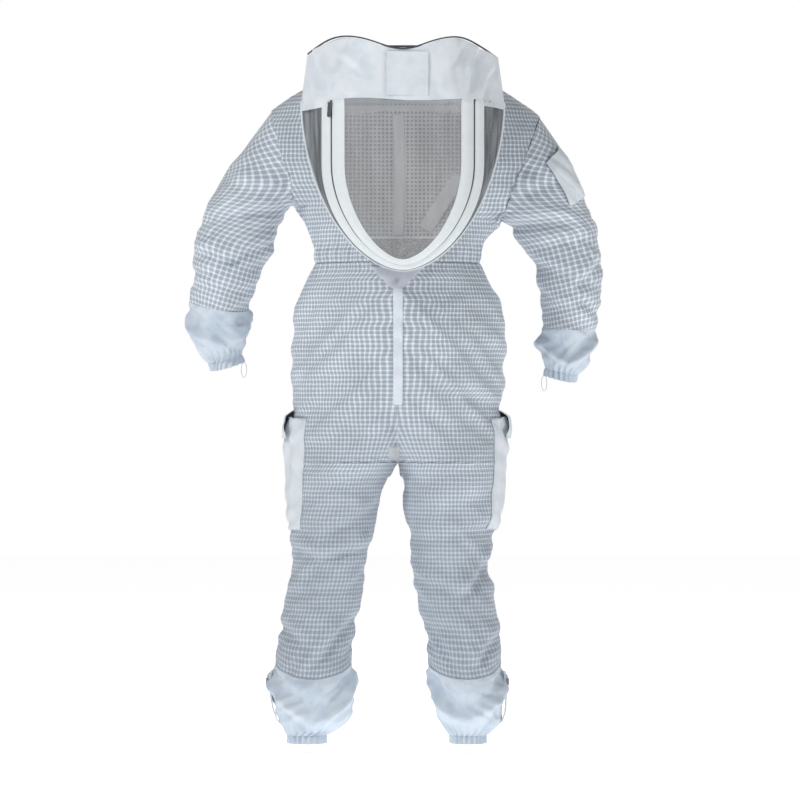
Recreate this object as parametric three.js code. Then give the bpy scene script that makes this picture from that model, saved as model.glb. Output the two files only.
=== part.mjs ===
// A full-length ventilated beekeeping suit with a fencing hood that hangs down the back.
// Millimetres, +Z up, +Y towards the wearer's front. The origin is the middle of the neck opening,
// level with the neckline at the wearer's back.
import * as THREE from 'three';
import { mergeVertices } from 'three/addons/utils/BufferGeometryUtils.js';

// ---------------------------------------------------------------- driving dimensions
const neckToWaist = 422;
const waistToCrotch = 431;
const crotchToCuffSeam = 422;
const ankleCuffLength = 150;

const meshWall = 5;
const cottonWall = 1.8;
const veilWall = 1.6;
const tapeWall = 1.4;
const seamGap = 0.4;
const armholeEase = 0.3;

const waistHalfWidth = 173;
const waistBandHeight = 28;
const backDepth = 128;
const waistDepth = 105;
const seatDepth = 140;
const frontDepth = 112;
const kneeDepth = 92;
const ankleDepth = 84;

const neckHalfWidth = 78;
const neckBack = -66;
const neckFrontDrop = 60;
const collarHeight = 15;
const collarGap = 1.35;
const armholeDepth = 86;

const zipOpening = 15;
const zipTeethWidth = 5;
const zipTopDrop = 78;
const zipLength = 700;

const hoodCentreX = 10;
const hoodHalfWidth = 208;
const hoodHeight = 459;
const hoodBandHeight = 112;
const veilTopGap = 0.8;
const hoodFrontY = -296;
const hoodSideY = -168;
const hoodCoreY = -212;
const hoodBackY = -138;
const strapY = -167;
const hoodHingeY = -67.9;
const hoodHingeZ = 14;
const veilHalfWidth = 165;
const veilTapeWidth = 17;
const veilCoilWidth = 4;
const veilInnerTapeWidth = 23;
const pipingRadius = 2.6;

const thighPocketHeight = 236;
const pocketBulge = 11;
const thighPocketSeat = 3.9;
const chestPocketSeat = 10.8;
const chestPocketBulge = 8;
const sleevePocketSeat = 1.1;
const sleevePocketBulge = 6;
const flapHeight = 58;

const waistZ = -neckToWaist;
const crotchZ = waistZ - waistToCrotch;
const cuffSeamZ = crotchZ - crotchToCuffSeam;

// Each side of the suit has its own drape. Widths are distances from the middle plane; a table row
// is [share of the way down the stretch, value].
const left = {
  name: 'left',
  side: -1,
  shoulder: [265, -115],
  armpit: [214, -321],
  shoulderBulge: 8,
  hipOuter: [[0, waistHalfWidth], [0.09, 198], [0.26, 216], [0.43, 225], [0.68, 222], [1, 224]],
  legOuter: [[0, 224], [0.45, 223], [0.68, 237], [0.88, 249], [1, 259]],
  legInner: [[0, 0], [0.08, 23], [0.48, 61], [0.68, 78], [0.88, 94], [1, 97]],
  cuff: [[0, 259, 97], [0.2, 268, 94], [0.5, 264, 90], [0.72, 256, 95], [0.9, 242, 120], [1, 231, 151]],
  arm: [[302, 8, -292, 79, 84], [340, 24, -380, 82, 82], [359, 34, -430, 75, 78], [376, 52, -522, 64, 66]],
  wrist: [[380, 58, -560, 64, 62], [376, 64, -598, 58, 54], [366, 70, -634, 36, 36]],
};
const right = {
  name: 'right',
  side: 1,
  shoulder: [298, -128],
  armpit: [212, -361],
  shoulderBulge: 16,
  hipOuter: [[0, waistHalfWidth], [0.09, 200], [0.3, 223], [0.6, 226], [0.75, 214], [1, 219]],
  legOuter: [[0, 219], [0.2, 208], [0.48, 196], [0.68, 200], [0.88, 214], [1, 220]],
  legInner: [[0, 0], [0.08, 8], [0.48, 28], [0.68, 40], [0.88, 60], [1, 66]],
  cuff: [[0, 220, 66], [0.2, 224, 67], [0.5, 225, 69], [0.72, 221, 78], [0.9, 206, 100], [1, 184, 110]],
  arm: [[297, 8, -292, 93, 92], [330, 24, -362, 81, 84], [359, 36, -430, 73, 78], [363, 54, -566, 58, 62]],
  wrist: [[357, 60, -600, 58, 58], [353, 66, -634, 54, 50], [347, 70, -660, 34, 34]],
};

// ---------------------------------------------------------------- finishes
function finish(colour, roughness, metalness = 0) {
  return new THREE.MeshStandardMaterial({ color: new THREE.Color(colour), roughness, metalness });
}
const airMesh = () => finish('#c8d0de', 0.9);
const cotton = () => finish('#dee8f2', 0.85);
const whiteTape = () => finish('#ebf3f5', 0.8);
const darkMesh = () => finish('#4a4d50', 0.7);
const greyMesh = () => finish('#96989e', 0.8);
const darkTeeth = () => finish('#3c3e42', 0.5);
const zipMetal = () => finish('#8d8f94', 0.35, 0.9);

const suit = new THREE.Group();

function addPart(name, geometry, material) {
  const mesh = new THREE.Mesh(geometry, material);
  mesh.name = name;
  suit.add(mesh);
  return mesh;
}

// ---------------------------------------------------------------- shape helpers
function point(x, y, z) {
  return new THREE.Vector3(x, y, z);
}

// A smooth value part of the way along a table of [position, value, ...] rows.
function along(table, at, column = 1) {
  const last = table.length - 1;
  let i = 0;
  while (i < last - 1 && at > table[i + 1][0]) i += 1;
  const slope = (k) => {
    const before = table[Math.max(k - 1, 0)];
    const after = table[Math.min(k + 1, last)];
    return (after[column] - before[column]) / (after[0] - before[0]);
  };
  const width = table[i + 1][0] - table[i][0];
  const t = Math.min(Math.max((at - table[i][0]) / width, 0), 1);
  const rise = (t * t * (3 - 2 * t)) * (table[i + 1][column] - table[i][column]);
  const lead = t * (1 - t) * (1 - t) * slope(i) * width;
  const tail = t * t * (1 - t) * slope(i + 1) * width;
  return table[i][column] + rise + lead - tail;
}

// Merges the shared vertices of a bent primitive and turns its faces outwards.
function closed(geometry) {
  geometry.deleteAttribute('normal');
  geometry.deleteAttribute('uv');
  const merged = mergeVertices(geometry, 1e-3);
  const place = merged.attributes.position;
  const index = merged.index.array;
  const corner = (k) => new THREE.Vector3().fromBufferAttribute(place, index[k]);
  let volume = 0;
  for (let k = 0; k < index.length; k += 3) {
    volume += corner(k).dot(corner(k + 1).cross(corner(k + 2)));
  }
  if (volume < 0) {
    for (let k = 0; k < index.length; k += 3) {
      const swap = index[k];
      index[k] = index[k + 1];
      index[k + 1] = swap;
    }
  }
  merged.computeVertexNormals();
  return merged;
}

// A panel of even thickness: a box whose wide faces follow surface(u, v), one wall apart.
function panel(surface, inward, wall, across, down) {
  const box = new THREE.BoxGeometry(1, 1, 1, across, down, 1);
  const place = box.attributes.position;
  for (let i = 0; i < place.count; i += 1) {
    const outer = surface(place.getX(i) + 0.5, place.getY(i) + 0.5);
    const depth = (0.5 - place.getZ(i)) * wall;
    const inner = outer.clone().addScaledVector(inward(outer), depth);
    place.setXYZ(i, inner.x, inner.y, inner.z);
  }
  return closed(box);
}

// A sleeve-like tube open at both ends: a lathed wall whose rings follow surface(t, angle).
function sleeveTube(surface, inward, wall, rings, around) {
  const innerRadius = 1;
  const outerRadius = 2;
  const profile = [];
  for (let k = 0; k <= rings; k += 1) profile.push(new THREE.Vector2(outerRadius, k / rings));
  for (let k = rings; k >= 0; k -= 1) profile.push(new THREE.Vector2(innerRadius, k / rings));
  profile.push(profile[0].clone());
  const tube = new THREE.LatheGeometry(profile, around);
  const place = tube.attributes.position;
  for (let i = 0; i < place.count; i += 1) {
    const radius = Math.hypot(place.getX(i), place.getZ(i));
    const angle = Math.atan2(place.getX(i), place.getZ(i));
    const outer = surface(place.getY(i), angle);
    const depth = (outerRadius - radius) * wall;
    const inner = outer.clone().addScaledVector(inward(outer, place.getY(i)), depth);
    place.setXYZ(i, inner.x, inner.y, inner.z);
  }
  return closed(tube);
}

// A patch bounded by four curves, each a function of 0..1 that meets its neighbours at the corners.
function patch(bottom, top, inner, outer) {
  return (u, v) => {
    const ruled = bottom(u).multiplyScalar(1 - v).add(top(u).multiplyScalar(v));
    const sides = inner(v).multiplyScalar(1 - u).add(outer(v).multiplyScalar(u));
    const corners = bottom(0).multiplyScalar((1 - u) * (1 - v));
    corners.add(bottom(1).multiplyScalar(u * (1 - v)));
    corners.add(top(0).multiplyScalar((1 - u) * v));
    corners.add(top(1).multiplyScalar(u * v));
    return ruled.add(sides).sub(corners);
  };
}

// A round rod along a list of points.
function rod(points, radius, steps, sides = 8) {
  const path = new THREE.CatmullRomCurve3(points);
  const section = new THREE.Shape();
  for (let k = 0; k < sides; k += 1) {
    const turn = (2 * Math.PI * k) / sides;
    const x = radius * Math.cos(turn);
    const y = radius * Math.sin(turn);
    if (k === 0) section.moveTo(x, y);
    else section.lineTo(x, y);
  }
  section.closePath();
  return closed(new THREE.ExtrudeGeometry(section, { steps, extrudePath: path, bevelEnabled: false }));
}

// ---------------------------------------------------------------- trunk: back, chest, waist
// Every trunk wall is laid towards a point inside the body, so that neighbours share their edges' slant.
function towardsBody(place) {
  const lift = 60 * Math.min(Math.max((place.z + 340) / 200, 0), 1);
  const core = point(place.x * 0.7, place.y > 0 ? 20 : -10, place.z - lift);
  return core.sub(place).normalize();
}

const bandTopZ = waistZ + waistBandHeight / 2;
const bandFootZ = waistZ - waistBandHeight / 2;
const neckSideTurn = 1.3;

// The neckline, from 0 at the back to PI at the front.
function neckline(turn, side) {
  const middleY = (neckBack + frontDepth) / 2;
  const drop = neckFrontDrop * ((1 - Math.cos(turn)) / 2) ** 2;
  const y = middleY - (frontDepth - middleY) * Math.cos(turn);
  return point(side * neckHalfWidth * Math.sin(turn), y, 6 * Math.sin(turn) ** 2 - drop);
}

function armhole(leg, turn) {
  const [topX, topZ] = leg.shoulder;
  const [footX, footZ] = leg.armpit;
  const share = (1 - Math.cos(turn)) / 2;
  const x = footX + (topX - footX) * share;
  return point(leg.side * x, armholeDepth * Math.sin(turn), footZ + (topZ - footZ) * share);
}

function waistRow(leg, turn, z, front) {
  const depth = front > 0 ? frontDepth : waistDepth;
  return point(leg.side * waistHalfWidth * Math.sin(turn), front * depth * Math.cos(turn), z);
}

// One half of the back (front = -1) or of the chest (front = 1), from the middle to the side.
function trunkHalf(leg, front) {
  const quarter = Math.PI / 2;
  const bottom = (u) => waistRow(leg, u * quarter, bandTopZ, front);
  const neckShare = 0.34;
  const neckStart = front > 0 ? Math.PI : 0;
  const top = (u) => {
    if (u < neckShare) return neckline(neckStart + (u / neckShare) * (neckSideTurn - neckStart), leg.side);
    const t = (u - neckShare) / (1 - neckShare);
    const seam = neckline(neckSideTurn, leg.side).lerp(armhole(leg, Math.PI), t);
    seam.z += leg.shoulderBulge * Math.sin(Math.PI * t);
    return seam;
  };
  const depths = [[0, waistDepth], [0.3, backDepth], [0.72, backDepth - 8], [0.93, 88], [1, -neckBack]];
  const inner = (v) => {
    const start = bottom(0);
    const end = top(0);
    const y = front > 0 ? frontDepth : -along(depths, v);
    return point(0, y, start.z + (end.z - start.z) * v);
  };
  const sideShare = 0.25;
  const outer = (v) => {
    if (v > sideShare) {
      const ring = armhole(leg, Math.PI * ((v - sideShare) / (1 - sideShare)));
      return point(ring.x, front * ring.y, ring.z);
    }
    const [footX, footZ] = leg.armpit;
    const t = v / sideShare;
    const x = waistHalfWidth + (footX - waistHalfWidth) * (0.35 * t + 0.65 * t * t);
    return point(leg.side * x, 0, bandTopZ + (footZ - bandTopZ) * t);
  };
  return patch(bottom, top, inner, outer);
}

function shifted(surface, x, y, z = 0) {
  return (u, v) => surface(u, v).add(point(x, y, z));
}

function addTrunk() {
  const backLeft = trunkHalf(left, -1);
  const backRight = trunkHalf(right, -1);
  const back = (u, v) => (u < 0.5 ? backLeft(1 - 2 * u, v) : backRight(2 * u - 1, v));
  const backPanel = panel(shifted(back, 0, -seamGap / 2), towardsBody, meshWall, 16, 12);
  addPart('upper_back', backPanel, airMesh());
  for (const leg of [left, right]) {
    const half = trunkHalf(leg, 1);
    const fromZip = (u, v) => {
      const place = half(u, v);
      place.x += leg.side * (zipOpening / 2) * (1 - u);
      return place;
    };
    const chest = panel(shifted(fromZip, 0, seamGap / 2), towardsBody, meshWall, 8, 12);
    addPart(`chest_${leg.name}`, chest, airMesh());
  }
  const frontTurn = Math.PI - Math.asin(zipOpening / 2 / waistHalfWidth);
  const band = (u, v) => {
    const turn = frontTurn * (2 * u - 1);
    const leg = turn < 0 ? left : right;
    const z = bandFootZ + seamGap + (waistBandHeight - 2 * seamGap) * v;
    if (Math.abs(turn) > Math.PI / 2) return waistRow(leg, Math.PI - Math.abs(turn), z, 1);
    return waistRow(leg, Math.abs(turn), z, -1);
  };
  const towardsAxis = (place) => point(-place.x, -place.y, 0).normalize();
  addPart('waist_elastic', panel(band, towardsAxis, cottonWall + 1, 32, 1), cotton());
}

// ---------------------------------------------------------------- trousers
const trouserRows = 25;
const crotchRow = 12;
const crotchShare = crotchRow / trouserRows;
const rowShare = (row) => 0.0005 + (0.999 * row) / trouserRows;

// The outer surface of one trouser leg: v runs from the waistband down to the cuff seam, and u from the
// side seam round to the middle seam, which becomes the inner leg seam below the crotch.
function trouserPoint(leg, front, u, v) {
  const aboveCrotch = v < crotchShare;
  const down = aboveCrotch ? v / crotchShare : (v - crotchShare) / (1 - crotchShare);
  const easing = Math.sin((down * Math.PI) / 2);
  const z = aboveCrotch ? bandFootZ + (crotchZ - bandFootZ) * easing : crotchZ + (cuffSeamZ - crotchZ) * down;
  const share = aboveCrotch ? (bandFootZ - z) / (bandFootZ - crotchZ) : 1;
  const rounding = share ** 4;
  const outerX = aboveCrotch ? along(leg.hipOuter, share) : along(leg.legOuter, down);
  const innerX = aboveCrotch ? 0 : along(leg.legInner, down);
  const halfWidth = (outerX - innerX) / (1 + rounding);
  const middleX = outerX - halfWidth;
  const turn = u * Math.acos(-rounding);
  const backHip = [[0, waistDepth], [0.5, seatDepth], [1, seatDepth]];
  const straight = Math.min(frontDepth / Math.sqrt(Math.max(1 - rounding * rounding, 0.01)), seatDepth);
  const legDepth = [[0, seatDepth], [0.12, 124], [0.5, kneeDepth], [1, ankleDepth]];
  let depth = along(legDepth, down);
  if (aboveCrotch) depth = front > 0 ? straight : along(backHip, share);
  const x = middleX + halfWidth * Math.cos(turn);
  return point(leg.side * x, front * depth * Math.sin(turn), z);
}

function legAxisX(leg, z) {
  const share = Math.min((bandFootZ - z) / (bandFootZ - crotchZ), 1);
  if (share < 1) {
    const outerX = along(leg.hipOuter, share);
    return (leg.side * outerX * share ** 4) / (1 + share ** 4);
  }
  const down = Math.min((crotchZ - z) / (crotchZ - cuffSeamZ), 1);
  return (leg.side * (along(leg.legOuter, down) + along(leg.legInner, down))) / 2;
}

function addTrousers() {
  for (const leg of [left, right]) {
    const inward = (place) => point(legAxisX(leg, place.z) - place.x, -place.y, 0).normalize();
    for (const [name, front] of [['back', -1], ['front', 1]]) {
      const surface = (u, v) => {
        const place = trouserPoint(leg, front, u, rowShare(trouserRows * v));
        const opening = front > 0 ? (zipOpening / 2) * u * (v < crotchShare ? 1 - (v / crotchShare) ** 8 : 0) : 0;
        return place.add(point(leg.side * (seamGap / 2 + opening), (front * seamGap) / 2, 0));
      };
      addPart(`trouser_${name}_${leg.name}`, panel(surface, inward, meshWall, 8, trouserRows), airMesh());
    }
  }
}

// ---------------------------------------------------------------- ankle cuffs
// A row of a side's cuff table is [share of the cuff's height, outer edge, inner edge].
function anklePoint(leg, t, turn) {
  const depths = [[0, ankleDepth], [0.25, ankleDepth + 6], [0.6, 84], [0.9, 54], [1, 38]];
  const outerX = along(leg.cuff, t, 1);
  const innerX = along(leg.cuff, t, 2);
  const x = (outerX + innerX) / 2 + ((outerX - innerX) / 2) * Math.cos(turn);
  const z = cuffSeamZ - seamGap - ankleCuffLength * t;
  return point(leg.side * x, along(depths, t) * Math.sin(turn), z);
}

function cuffInward(leg) {
  return (place) => {
    const t = Math.min((cuffSeamZ - place.z) / ankleCuffLength, 1);
    const middle = (leg.side * (along(leg.cuff, t, 1) + along(leg.cuff, t, 2))) / 2;
    return point(middle - place.x, -place.y, 0).normalize();
  };
}

function addAnkleCuffs() {
  const elasticHeight = 16;
  const elasticWall = 3.2;
  for (const leg of [left, right]) {
    const surface = (t, turn) => anklePoint(leg, t, turn);
    addPart(`ankle_cuff_${leg.name}`, sleeveTube(surface, cuffInward(leg), cottonWall, 7, 20), cotton());
    const hem = (t, turn) => {
      const ring = anklePoint(leg, 1, turn);
      ring.z -= seamGap + elasticHeight * t;
      return ring;
    };
    addPart(`ankle_elastic_${leg.name}`, sleeveTube(hem, cuffInward(leg), elasticWall, 1, 20), whiteTape());
  }
}

// ---------------------------------------------------------------- sleeves and wrist cuffs
// A limb is a list of rings { middle, across, depth }: half of each ring's width and depth, as vectors.
function limbRings(leg, rows) {
  return rows.map(([x, y, z, halfWidth, halfDepth], k) => {
    const before = rows[Math.max(k - 1, 0)];
    const after = rows[Math.min(k + 1, rows.length - 1)];
    const run = point(leg.side * (after[0] - before[0]), after[1] - before[1], after[2] - before[2]);
    const across = run.clone().cross(point(0, 1, 0)).normalize();
    const depth = across.clone().cross(run).normalize().multiplyScalar(halfDepth);
    return { middle: point(leg.side * x, y, z), across: across.multiplyScalar(halfWidth), depth };
  });
}

function armholeRing(leg) {
  const [topX, topZ] = leg.shoulder;
  const [footX, footZ] = leg.armpit;
  const across = point((leg.side * (topX - footX)) / 2, 0, (topZ - footZ) / 2).multiplyScalar(leg.side);
  const outwards = point(-leg.side * across.z, 0, leg.side * across.x).normalize();
  const clear = seamGap + armholeEase;
  const middle = point((leg.side * (topX + footX)) / 2, 0, (topZ + footZ) / 2);
  middle.addScaledVector(outwards, Math.sign(outwards.x) === leg.side ? clear : -clear);
  return { middle, across, depth: point(0, armholeDepth, 0) };
}

function ringAt(rings, share) {
  const at = (pick) => new THREE.CatmullRomCurve3(rings.map((ring) => ring[pick])).getPoint(share);
  return { middle: at('middle'), across: at('across'), depth: at('depth') };
}

function addLimb(name, rings, wall, steps, around, material, startSlant) {
  const surface = (t, turn) => {
    const ring = ringAt(rings, t);
    return ring.middle.addScaledVector(ring.across, Math.cos(turn)).addScaledVector(ring.depth, Math.sin(turn));
  };
  const inward = (place, t) => {
    const way = ringAt(rings, t).middle.sub(place).normalize();
    const blend = startSlant ? Math.max(1 - t * steps, 0) : 0;
    return way.lerp(towardsBody(place), blend).normalize();
  };
  return addPart(name, sleeveTube(surface, inward, wall, steps, around), material);
}

function sleeveRings(leg) {
  const rings = limbRings(leg, [...leg.arm, ...leg.wrist]);
  return [armholeRing(leg), ...rings.slice(0, leg.arm.length)];
}

function wristRings(leg) {
  return limbRings(leg, [...leg.arm, ...leg.wrist]).slice(leg.arm.length - 1);
}

function alongLimb(rings, distance) {
  const start = rings[0].middle;
  const way = rings[1].middle.clone().sub(start).normalize();
  return rings.map((ring) => ({ ...ring, middle: ring.middle.clone().addScaledVector(way, distance) }));
}

function addArms() {
  const elasticHeight = 16;
  for (const leg of [left, right]) {
    addLimb(`sleeve_${leg.name}`, sleeveRings(leg), meshWall, 10, 18, airMesh(), true);
    const cuff = alongLimb(wristRings(leg), seamGap);
    addLimb(`wrist_cuff_${leg.name}`, cuff, cottonWall, 6, 18, cotton(), false);
    const hem = cuff[cuff.length - 1];
    const way = hem.across.clone().cross(hem.depth).normalize();
    if (way.z > 0) way.negate();
    const start = { ...hem, middle: hem.middle.clone().addScaledVector(way, seamGap) };
    const end = { ...hem, middle: hem.middle.clone().addScaledVector(way, seamGap + elasticHeight) };
    addLimb(`wrist_elastic_${leg.name}`, [start, end], cottonWall + 1.2, 1, 18, whiteTape(), false);
  }
}

// ---------------------------------------------------------------- collar, neck zip, seat seam
function addCollar() {
  const openTurn = 2.75;
  const ring = (z0, height, grow) => (u, v) => {
    const turn = openTurn * (2 * u - 1);
    const place = neckline(Math.abs(turn), Math.sign(turn) || 1);
    const out = point(place.x, place.y - (neckBack + frontDepth) / 2, 0).normalize();
    return place.addScaledVector(out, grow).add(point(0, 0, z0 + height * v));
  };
  const towardsNeck = (place) => point(-place.x, (neckBack + frontDepth) / 2 - place.y, 0).normalize();
  const stand = panel(ring(collarGap, collarHeight, 0), towardsNeck, cottonWall + 0.6, 32, 1);
  addPart('collar_stand', stand, cotton());
  const zipHeight = 4;
  const teeth = panel(ring(collarGap + collarHeight - 5, zipHeight, 2), towardsNeck, cottonWall - 0.3, 32, 1);
  addPart('neck_zip_collar_half', teeth, darkTeeth());
  const loop = (u, v) => point((u - 0.5) * 46, neckBack + 7.2 + 5 * Math.sin(Math.PI * u), 4 + 5 * v);
  addPart('hanger_loop', panel(loop, () => point(0, 1, 0), 1, 8, 1), whiteTape());
}

function addSeatSeam() {
  const tapeWidth = 18;
  const firstRow = 1;
  const lastRow = 6;
  const strip = (u, v) => {
    const leg = u < 0.5 ? left : right;
    const place = trouserPoint(leg, -1, 1, rowShare(firstRow + (lastRow - firstRow) * v));
    place.x = (u - 0.5) * tapeWidth;
    return place.add(point(0, -3.1 * seamGap - tapeWall, 0));
  };
  addPart('seat_seam_tape', panel(strip, () => point(0, 1, 0), tapeWall, 2, lastRow - firstRow), whiteTape());
}

// ---------------------------------------------------------------- front zip
const zipTopZ = -zipTopDrop;
const sliderHeight = 14;
const pullHeight = 26;

function block(width, depth, height, x, y, z) {
  const box = new THREE.BoxGeometry(width, depth, height);
  box.translate(x, y, z);
  return closed(box);
}

// A slider body that stands on the teeth, with an ear that the pull hangs from. The pull is a teardrop.
function sliderShape(width) {
  const outline = new THREE.Shape();
  outline.moveTo(-width / 2, sliderHeight / 2);
  outline.lineTo(-width / 4, -sliderHeight / 2);
  outline.lineTo(width / 4, -sliderHeight / 2);
  outline.lineTo(width / 2, sliderHeight / 2);
  outline.closePath();
  return outline;
}

function pullShape() {
  const headRadius = 2.6;
  const tipRadius = 4.2;
  const outline = new THREE.Shape();
  outline.absarc(0, 0, headRadius, 0, Math.PI, false);
  outline.absarc(0, -pullHeight + tipRadius + headRadius, tipRadius, Math.PI, 2 * Math.PI, false);
  outline.closePath();
  return outline;
}

function flatPiece(outline, thickness) {
  const piece = new THREE.ExtrudeGeometry(outline, { depth: thickness, bevelEnabled: false, curveSegments: 6 });
  piece.rotateX(Math.PI / 2);
  return closed(piece);
}

// Adds a slider and its pull. place is on the face of the teeth, and outward is the way that face looks.
const sliderThickness = 4.5;
const pullThickness = 1.6;
function addSlider(name, place, outward, width, withPull = true) {
  const body = flatPiece(sliderShape(width), sliderThickness);
  const pull = flatPiece(pullShape(), pullThickness);
  const turn = Math.atan2(outward.x, -outward.y);
  const bodyMesh = addPart(`${name}_slider`, body, zipMetal());
  bodyMesh.position.copy(place).addScaledVector(outward, seamGap);
  bodyMesh.rotation.z = turn;
  if (!withPull) return;
  const pullMesh = addPart(`${name}_pull`, pull, zipMetal());
  pullMesh.position.copy(place).addScaledVector(outward, 2 * seamGap + sliderThickness);
  pullMesh.rotation.z = turn;
}

function addFrontZip() {
  const tapeInset = (zipOpening - zipTeethWidth) / 2 - 2 * seamGap;
  const tapeX = zipTeethWidth / 2 + seamGap + tapeInset / 2;
  const middleZ = zipTopZ - zipLength / 2;
  for (const leg of [left, right]) {
    const tape = block(tapeInset, tapeWall, zipLength, leg.side * tapeX, frontDepth - tapeWall, middleZ);
    addPart(`front_zip_tape_${leg.name}`, tape, whiteTape());
  }
  const teethDepth = 2.6;
  const teeth = block(zipTeethWidth, teethDepth, zipLength, 0, frontDepth - tapeWall, middleZ);
  addPart('front_zip_teeth', teeth, whiteTape());
  const teethFace = point(0, frontDepth - tapeWall + teethDepth / 2, zipTopZ - sliderHeight);
  addSlider('front_zip', teethFace, point(0, 1, 0), 11);
}

// ---------------------------------------------------------------- hood
// How far the hood's front stands out at a place across it, 1 in the middle and 0 at its side edges.
function hoodSwell(share) {
  return (1 - Math.min(Math.abs(share), 1) ** 2.6) ** 0.8;
}

function hoodFront(x, z) {
  const down = Math.min(Math.max((-hoodBandHeight - z) / (hoodHeight - hoodBandHeight), 0), 1);
  const tuck = 60 * down ** 6;
  return hoodSideY + (hoodFrontY - hoodSideY) * hoodSwell(x / hoodHalfWidth) + tuck;
}

function towardsHood(place) {
  const z = Math.max(place.z, -hoodHeight + 75);
  return point(hoodCentreX + 0.5 * (place.x - hoodCentreX), hoodCoreY, z).sub(place).normalize();
}

// The veil's rim: a superellipse arch that hangs from the band, from its left end to its right end.
function rim(turn) {
  const power = 2 / 1.85;
  const x = -hoodHalfWidth * Math.sign(Math.cos(turn)) * Math.abs(Math.cos(turn)) ** power;
  const drop = hoodHeight - hoodBandHeight - veilTopGap;
  const z = -hoodBandHeight - veilTopGap - drop * Math.sin(turn) ** power;
  const y = hoodSideY - 44 * Math.sin(turn) ** 3;
  return point(hoodCentreX + x, y, z);
}

// One of the veil zip's lines: inset is its distance inside the zip's outer edge.
function arch(turn, inset) {
  const halfWidth = veilHalfWidth - inset;
  const top = -hoodBandHeight - veilTopGap;
  const straight = 140;
  const foot = hoodHeight - 0.42 * inset;
  const t = turn / Math.PI;
  const straightShare = 0.16;
  if (t <= straightShare || t >= 1 - straightShare) {
    const down = (t <= straightShare ? t : 1 - t) / straightShare;
    const x = t < 0.5 ? -halfWidth : halfWidth;
    const z = top - straight * down;
    return point(hoodCentreX + x, hoodFront(x, z), z);
  }
  const bend = (Math.PI * (t - straightShare)) / (1 - 2 * straightShare);
  const power = 2 / 1.75;
  const x = -halfWidth * Math.sign(Math.cos(bend)) * Math.abs(Math.cos(bend)) ** power;
  const z = top - straight + (top - straight + foot) * -1 * Math.sin(bend) ** power;
  return point(hoodCentreX + x, hoodFront(x, z), z);
}

function between(curveA, curveB, from = 0, to = Math.PI) {
  return (u, v) => curveA(from + (to - from) * u).lerp(curveB(from + (to - from) * u), v);
}

const archSteps = 30;
const coilInset = veilTapeWidth + seamGap;
const innerTapeInset = coilInset + veilCoilWidth + seamGap;
const faceInset = innerTapeInset + veilInnerTapeWidth + seamGap;

function addVeil() {
  const strips = [
    ['veil_zip_outer_tape', 0, veilTapeWidth, tapeWall, whiteTape()],
    ['veil_zip_coil', coilInset, veilCoilWidth, tapeWall + 0.8, darkTeeth()],
    ['veil_zip_inner_tape', innerTapeInset, veilInnerTapeWidth, tapeWall, whiteTape()],
  ];
  for (const [name, inset, width, wall, material] of strips) {
    const strip = between((turn) => arch(turn, inset), (turn) => arch(turn, inset + width));
    addPart(name, panel(strip, towardsHood, wall, archSteps, 1), material);
  }
  const lastTurn = 0.47 * Math.PI;
  const face = (u, v) => {
    const start = arch(lastTurn * v, faceInset);
    const x = (1 - 2 * u) * (start.x - hoodCentreX);
    return point(hoodCentreX + x, hoodFront(x, start.z), start.z);
  };
  addPart('face_mesh', panel(face, towardsHood, veilWall, 10, 14), greyMesh());
  const halves = [[left, 0.004, 0.5 * Math.PI - 0.004], [right, Math.PI - 0.004, 0.5 * Math.PI + 0.004]];
  for (const [leg, from, to] of halves) {
    const side = (u, v) => {
      const outer = rim(from + (to - from) * u);
      const inner = arch(from + (to - from) * u, 0);
      const run = inner.clone().sub(outer).normalize();
      outer.addScaledVector(run, pipingRadius + seamGap);
      return outer.lerp(inner.addScaledVector(run, -seamGap), v);
    };
    addPart(`veil_side_mesh_${leg.name}`, panel(side, towardsHood, veilWall, archSteps / 2, 3), darkMesh());
  }
  const points = [];
  for (let k = 0; k <= 24; k += 1) points.push(rim((Math.PI * k) / 24));
  addPart('veil_rim_piping', rod(points, pipingRadius, 40, 6), whiteTape());
  const coilX = -(veilHalfWidth - coilInset - veilCoilWidth / 2);
  const sliderZ = -hoodBandHeight - veilTopGap - sliderHeight;
  const step = 4;
  const nearY = hoodFront(coilX + step, sliderZ);
  const farY = hoodFront(coilX - step, sliderZ);
  const outward = point(nearY - farY, -2 * step, 0).normalize();
  const coilFace = point(hoodCentreX + coilX, hoodFront(coilX, sliderZ), sliderZ).addScaledVector(outward, 0.5);
  addSlider('veil_zip', coilFace, outward, 9);
}

// ---------------------------------------------------------------- hood's cotton and back
const bandWaves = [[-1, -16], [-0.72, 9], [-0.45, 7], [0, -19], [0.35, 2], [0.6, 9], [0.82, -8], [1, -26]];
function bandTop(share) {
  return along(bandWaves, share);
}

function bandPoint(u, v) {
  const share = Math.sin(((2 * u - 1) * Math.PI) / 2);
  const halfWidth = hoodHalfWidth - 12 * (1 - v);
  const y = hoodSideY + (hoodFrontY - hoodSideY) * hoodSwell(share);
  const foot = -hoodBandHeight;
  const top = bandTop(share);
  return point(hoodCentreX + halfWidth * share, y, top + (foot - top) * v);
}

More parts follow.
